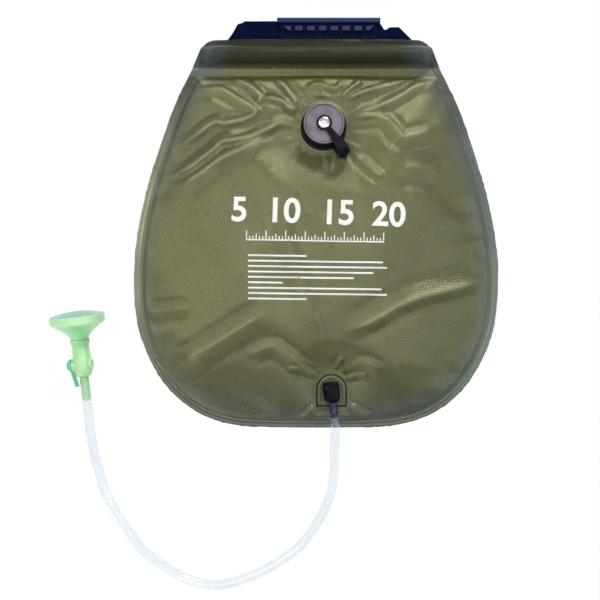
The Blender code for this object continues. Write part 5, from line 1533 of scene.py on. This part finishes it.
class StageSettings(bpy.types.PropertyGroup):
    sky: share_property("Sky", "Strength of the even light", 0.30, 2.0)
    floor_glow: share_property("Floor white", "How much of the floor is seen as plain white", 0.98, 1.0)
    key_power: power_property("Key", "Power of the key lamp", 19.0)
    overhead_power: power_property("Overhead", "Power of the soft light over the bag", 5.0)
    fill_power: power_property("Fill", "Power of the fill lamps", 9.0)


class FilmSettings(bpy.types.PropertyGroup):
    film_colour: colour_property("Front film", "Colour of the olive film", (0.116, 0.110, 0.047))
    back_colour: colour_property("Back film", "Colour of the black film", (0.016, 0.017, 0.018))
    # The edge cast is a painted reflection of the sky on the film
    edge_sheen_colour: colour_property("Edge cast", "Bluish colour towards the welded edge", (0.098, 0.134, 0.156))
    # The crest colour is a painted highlight along the creases' crests
    crest_highlight_colour: colour_property("Crests", "Colour of the film stretched over a crease", (0.34, 0.33, 0.20))
    hem_colour: colour_property("Hem", "Colour of the doubled film over the tube", (0.016, 0.019, 0.012))
    weave_pitch: length_property("Weave pitch", "Distance between the embossed threads", 0.0022, 0.0005, 0.01)
    film_step: length_property("Mesh step", "Distance between the front film's points", 0.0018, 0.001, 0.01)
    print_colour: colour_property("Printing", "Colour of the printed scale and rules", (0.86, 0.86, 0.82))
    crease_height: share_property("Creases", "Height of the creases, as a share of their table's", 1.45, 3.0)


class HandleSettings(bpy.types.PropertyGroup):
    webbing_colour: colour_property("Webbing", "Colour of the webbing", (0.0014, 0.0058, 0.0300))
    grip_colour: colour_property("Grip", "Colour of the moulded grip", (0.0016, 0.0036, 0.0180))
    # The rail's colour is the grip's navy painted lighter, a painted highlight
    rail_lit_colour: colour_property("Rail", "Colour of the grip's rail", (0.012, 0.027, 0.100))
    # The pads' pale colour is a painted reflection
    pad_sheen_colour: colour_property("Pads", "Colour of the pads in the grip's windows", (0.034, 0.036, 0.115))
    rib_pitch: length_property("Rib pitch", "Distance between the ribs of the webbing", 0.0016, 0.0005, 0.005)


class FittingSettings(bpy.types.PropertyGroup):
    plastic_colour: colour_property("Black plastic", "Colour of the neck and elbow", (0.0035, 0.0032, 0.0070))
    barb_colour: colour_property("Barb", "Colour of the hose barb", (0.0060, 0.0060, 0.0450))
    # The cap top's grey is a painted reflection on black plastic, with random blotches
    cap_top_sheen_colour: colour_property("Cap top", "Colour of the cap's worn top", (0.200, 0.165, 0.205))
    rubber_colour: colour_property("Rubber", "Colour of the tether and the seals", (0.0080, 0.0052, 0.0090))
    flange_colour: colour_property("Flange", "Colour of the outlet's flange", (0.120, 0.112, 0.055))
    tube_colour: colour_property("Tube", "Colour of the hanging tube", (0.72, 0.72, 0.70))


class HoseSettings(bpy.types.PropertyGroup):
    hose_colour: colour_property("Hose", "Cast of the clear hose", (0.93, 0.965, 0.99))


class HandsetSettings(bpy.types.PropertyGroup):
    body_colour: colour_property("Hand shower", "Colour of the hand shower", (0.47, 0.80, 0.40))
    # The bell's green is painted lighter than the body's, as painted light
    bell_lit_colour: colour_property("Bell", "Colour of the bell's cone", (0.38, 0.95, 0.42))
    dome_colour: colour_property("Spray plate", "Colour of the domed spray plate", (0.17, 0.50, 0.31))
    tap_colour: colour_property("Tap", "Colour of the tap's lever", (0.13, 0.60, 0.40))


class SHOWERBAG_OT_stage(bpy.types.Operator):
    """Set up the camera, the ground and the studio light"""

    bl_idname = "shower_bag.stage"
    bl_label = "Stage"

    def execute(self, context):
        settings = context.scene.shower_stage
        build_camera()
        build_floor(settings)
        build_world(settings)
        fill = settings.fill_power
        build_lamp("key", (0.44, 1.50, 0.96), (-0.02, 0.0, 0.0), (0.38, 0.38), settings.key_power)
        build_lamp("overhead", (-0.02, -0.06, 1.90), (-0.02, -0.06, 0.0), (1.1, 1.1), settings.overhead_power)
        build_lamp("fill_left", (-1.05, 0.30, 1.70), (-0.02, 0.0, 0.0), (0.5, 1.2), fill * 1.3)
        build_lamp("fill_front", (-1.00, -1.45, 0.62), (-0.10, 0.0, 0.0), (1.2, 0.5), fill * 0.7)
        build_lamp("fill_right", (1.25, -0.30, 1.60), (0.0, 0.0, 0.0), (0.7, 1.4), fill, (0.78, 0.91, 1.0))
        context.scene.view_settings.view_transform = "Standard"
        return {"FINISHED"}


class SHOWERBAG_OT_hose(bpy.types.Operator):
    """Build the clear hose"""

    bl_idname = "shower_bag.hose"
    bl_label = "Hose"

    def execute(self, context):
        build_hose(context.scene.shower_hose)
        return {"FINISHED"}


class SHOWERBAG_OT_films(bpy.types.Operator):
    """Build the front film, the back film and the printing"""

    bl_idname = "shower_bag.films"
    bl_label = "Films"

    def execute(self, context):
        settings = context.scene.shower_film
        build_back_film(settings)
        build_print(build_front_film(settings), settings)
        return {"FINISHED"}


class SHOWERBAG_OT_handle(bpy.types.Operator):
    """Build the webbing strap and its grip"""

    bl_idname = "shower_bag.handle"
    bl_label = "Handle"

    def execute(self, context):
        build_strap(context.scene.shower_handle)
        build_grip(context.scene.shower_handle)
        return {"FINISHED"}


class SHOWERBAG_OT_fittings(bpy.types.Operator):
    """Build the filler, the outlet and the tube"""

    bl_idname = "shower_bag.fittings"
    bl_label = "Fittings"

    def execute(self, context):
        settings = context.scene.shower_fitting
        plastic = plastic_finish("black_plastic", settings.plastic_colour, 0.27, scuff=0.10, shine=0.09)
        build_neck(plastic)
        build_cap(cap_finish(settings))
        build_elbow(plastic, plastic_finish("navy_barb", settings.barb_colour, 0.30, scuff=0.06, shine=0.30))
        rubber = rubber_finish("black_rubber", settings.rubber_colour)
        build_tether(rubber)
        metal = metal_finish("bright_metal")
        build_rivet(metal)
        olive = plastic_finish("flange_olive", settings.flange_colour, 0.36)
        white = plastic_finish("white_tube", settings.tube_colour, 0.35)
        polished("bush_ring", "tether_bush", 0.0002, metal, "cap_hub", "bright_metal")
        polished("gasket_ring", "cap_gasket", 0.0003, rubber, "cap", "black_rubber")
        polished("washer_ring", "outlet_washer", 0.0003, rubber, "bag", "black_rubber")
        polished("collar_ring", "neck_collar", 0.0004, rubber, "bag", "black_rubber")
        polished("flange_plate", "outlet_flange", 0.0002, olive, "bag", "olive_film")
        polished("tube_in_hem", "hanging_tube", 0.0003, white, "bag", "white_tube")
        return {"FINISHED"}


class SHOWERBAG_OT_handset(bpy.types.Operator):
    """Build the hand shower and its tap"""

    bl_idname = "shower_bag.handset"
    bl_label = "Hand shower"

    def execute(self, context):
        settings = context.scene.shower_handset
        gloss = {"scuff": 0.12, "coat": 0.2}
        green = plastic_finish("pale_green", settings.body_colour, 0.26, glow=0.35, **gloss)
        # The bell's cone and rim are painted lighter than the body's green, as painted light
        cone = plastic_finish(
            "bell_green", settings.bell_lit_colour, 0.26, glow=0.35, dark=0.92,
            rim_colour=settings.body_colour, **gloss
        )
        dome = plastic_finish("dome_green", settings.dome_colour, 0.28, glow=0.25, **gloss)
        tap = plastic_finish("tap_green", settings.tap_colour, 0.26, glow=0.25, **gloss)
        rubber, metal = (bpy.data.materials[name] for name in ("black_rubber", "bright_metal"))
        polished("shower_body", "handset_body", 0.0006, green, "bag", "pale_green")
        bell = polished("shower_bell", "rose_bell", 0.0005, cone, "bag", "pale_green")
        inward = handset_frame().inverted()
        store(bell, "rim_band", [rise((inward @ vert.co).z, BELL_RIM, 0.004) for vert in bell.data.vertices])
        polished("shower_dome", "spray_plate", 0.0002, dome, "bag", "pale_green")
        polished("tap_spindle", "tap_plug", 0.0002, tap, "tap", "tap_green")
        polished("tap_handle", "tap_lever", 0.0005, tap, "tap", "tap_green")
        polished("rose_ring", "rose_seal", 0.0002, rubber, "bag", "black_rubber")
        polished("tap_ring_left", "tap_seal_lever_side", 0.0002, rubber, "tap", "black_rubber")
        polished("tap_ring_right", "tap_seal_screw_side", 0.0002, rubber, "tap", "black_rubber")
        polished("tap_screw", "tap_retainer", 0.0002, metal, "tap", "bright_metal")
        return {"FINISHED"}


class SHOWERBAG_PT_panel(bpy.types.Panel):
    """The shower bag's builders, in the order they run"""

    bl_idname = "SHOWERBAG_PT_panel"
    bl_label = "Shower bag"
    bl_space_type = "VIEW_3D"
    bl_region_type = "UI"
    bl_category = "Shower bag"

    def draw(self, context):
        for group, settings in SETTINGS.items():
            box = self.layout.box()
            for name in settings.__annotations__:
                box.prop(getattr(context.scene, group), name)
        for operator in OPERATORS:
            self.layout.operator(operator.bl_idname)


SETTINGS = {
    "shower_stage": StageSettings,
    "shower_film": FilmSettings,
    "shower_handle": HandleSettings,
    "shower_fitting": FittingSettings,
    "shower_hose": HoseSettings,
    "shower_handset": HandsetSettings,
}
OPERATORS = [
    SHOWERBAG_OT_stage, SHOWERBAG_OT_hose, SHOWERBAG_OT_films, SHOWERBAG_OT_handle, SHOWERBAG_OT_fittings,
    SHOWERBAG_OT_handset,
]


def register():
    for group in (*SETTINGS.values(), *OPERATORS, SHOWERBAG_PT_panel):
        bpy.utils.register_class(group)
    for name, settings in SETTINGS.items():
        setattr(bpy.types.Scene, name, PointerProperty(type=settings))


def unregister():
    for name in SETTINGS:
        delattr(bpy.types.Scene, name)
    for group in reversed((*SETTINGS.values(), *OPERATORS, SHOWERBAG_PT_panel)):
        bpy.utils.unregister_class(group)


def main():
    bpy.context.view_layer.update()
    register()
    for operator in OPERATORS:
        group, name = operator.bl_idname.split(".")
        getattr(getattr(bpy.ops, group), name)()
    bpy.context.view_layer.update()


if __name__ == "__main__":
    main()
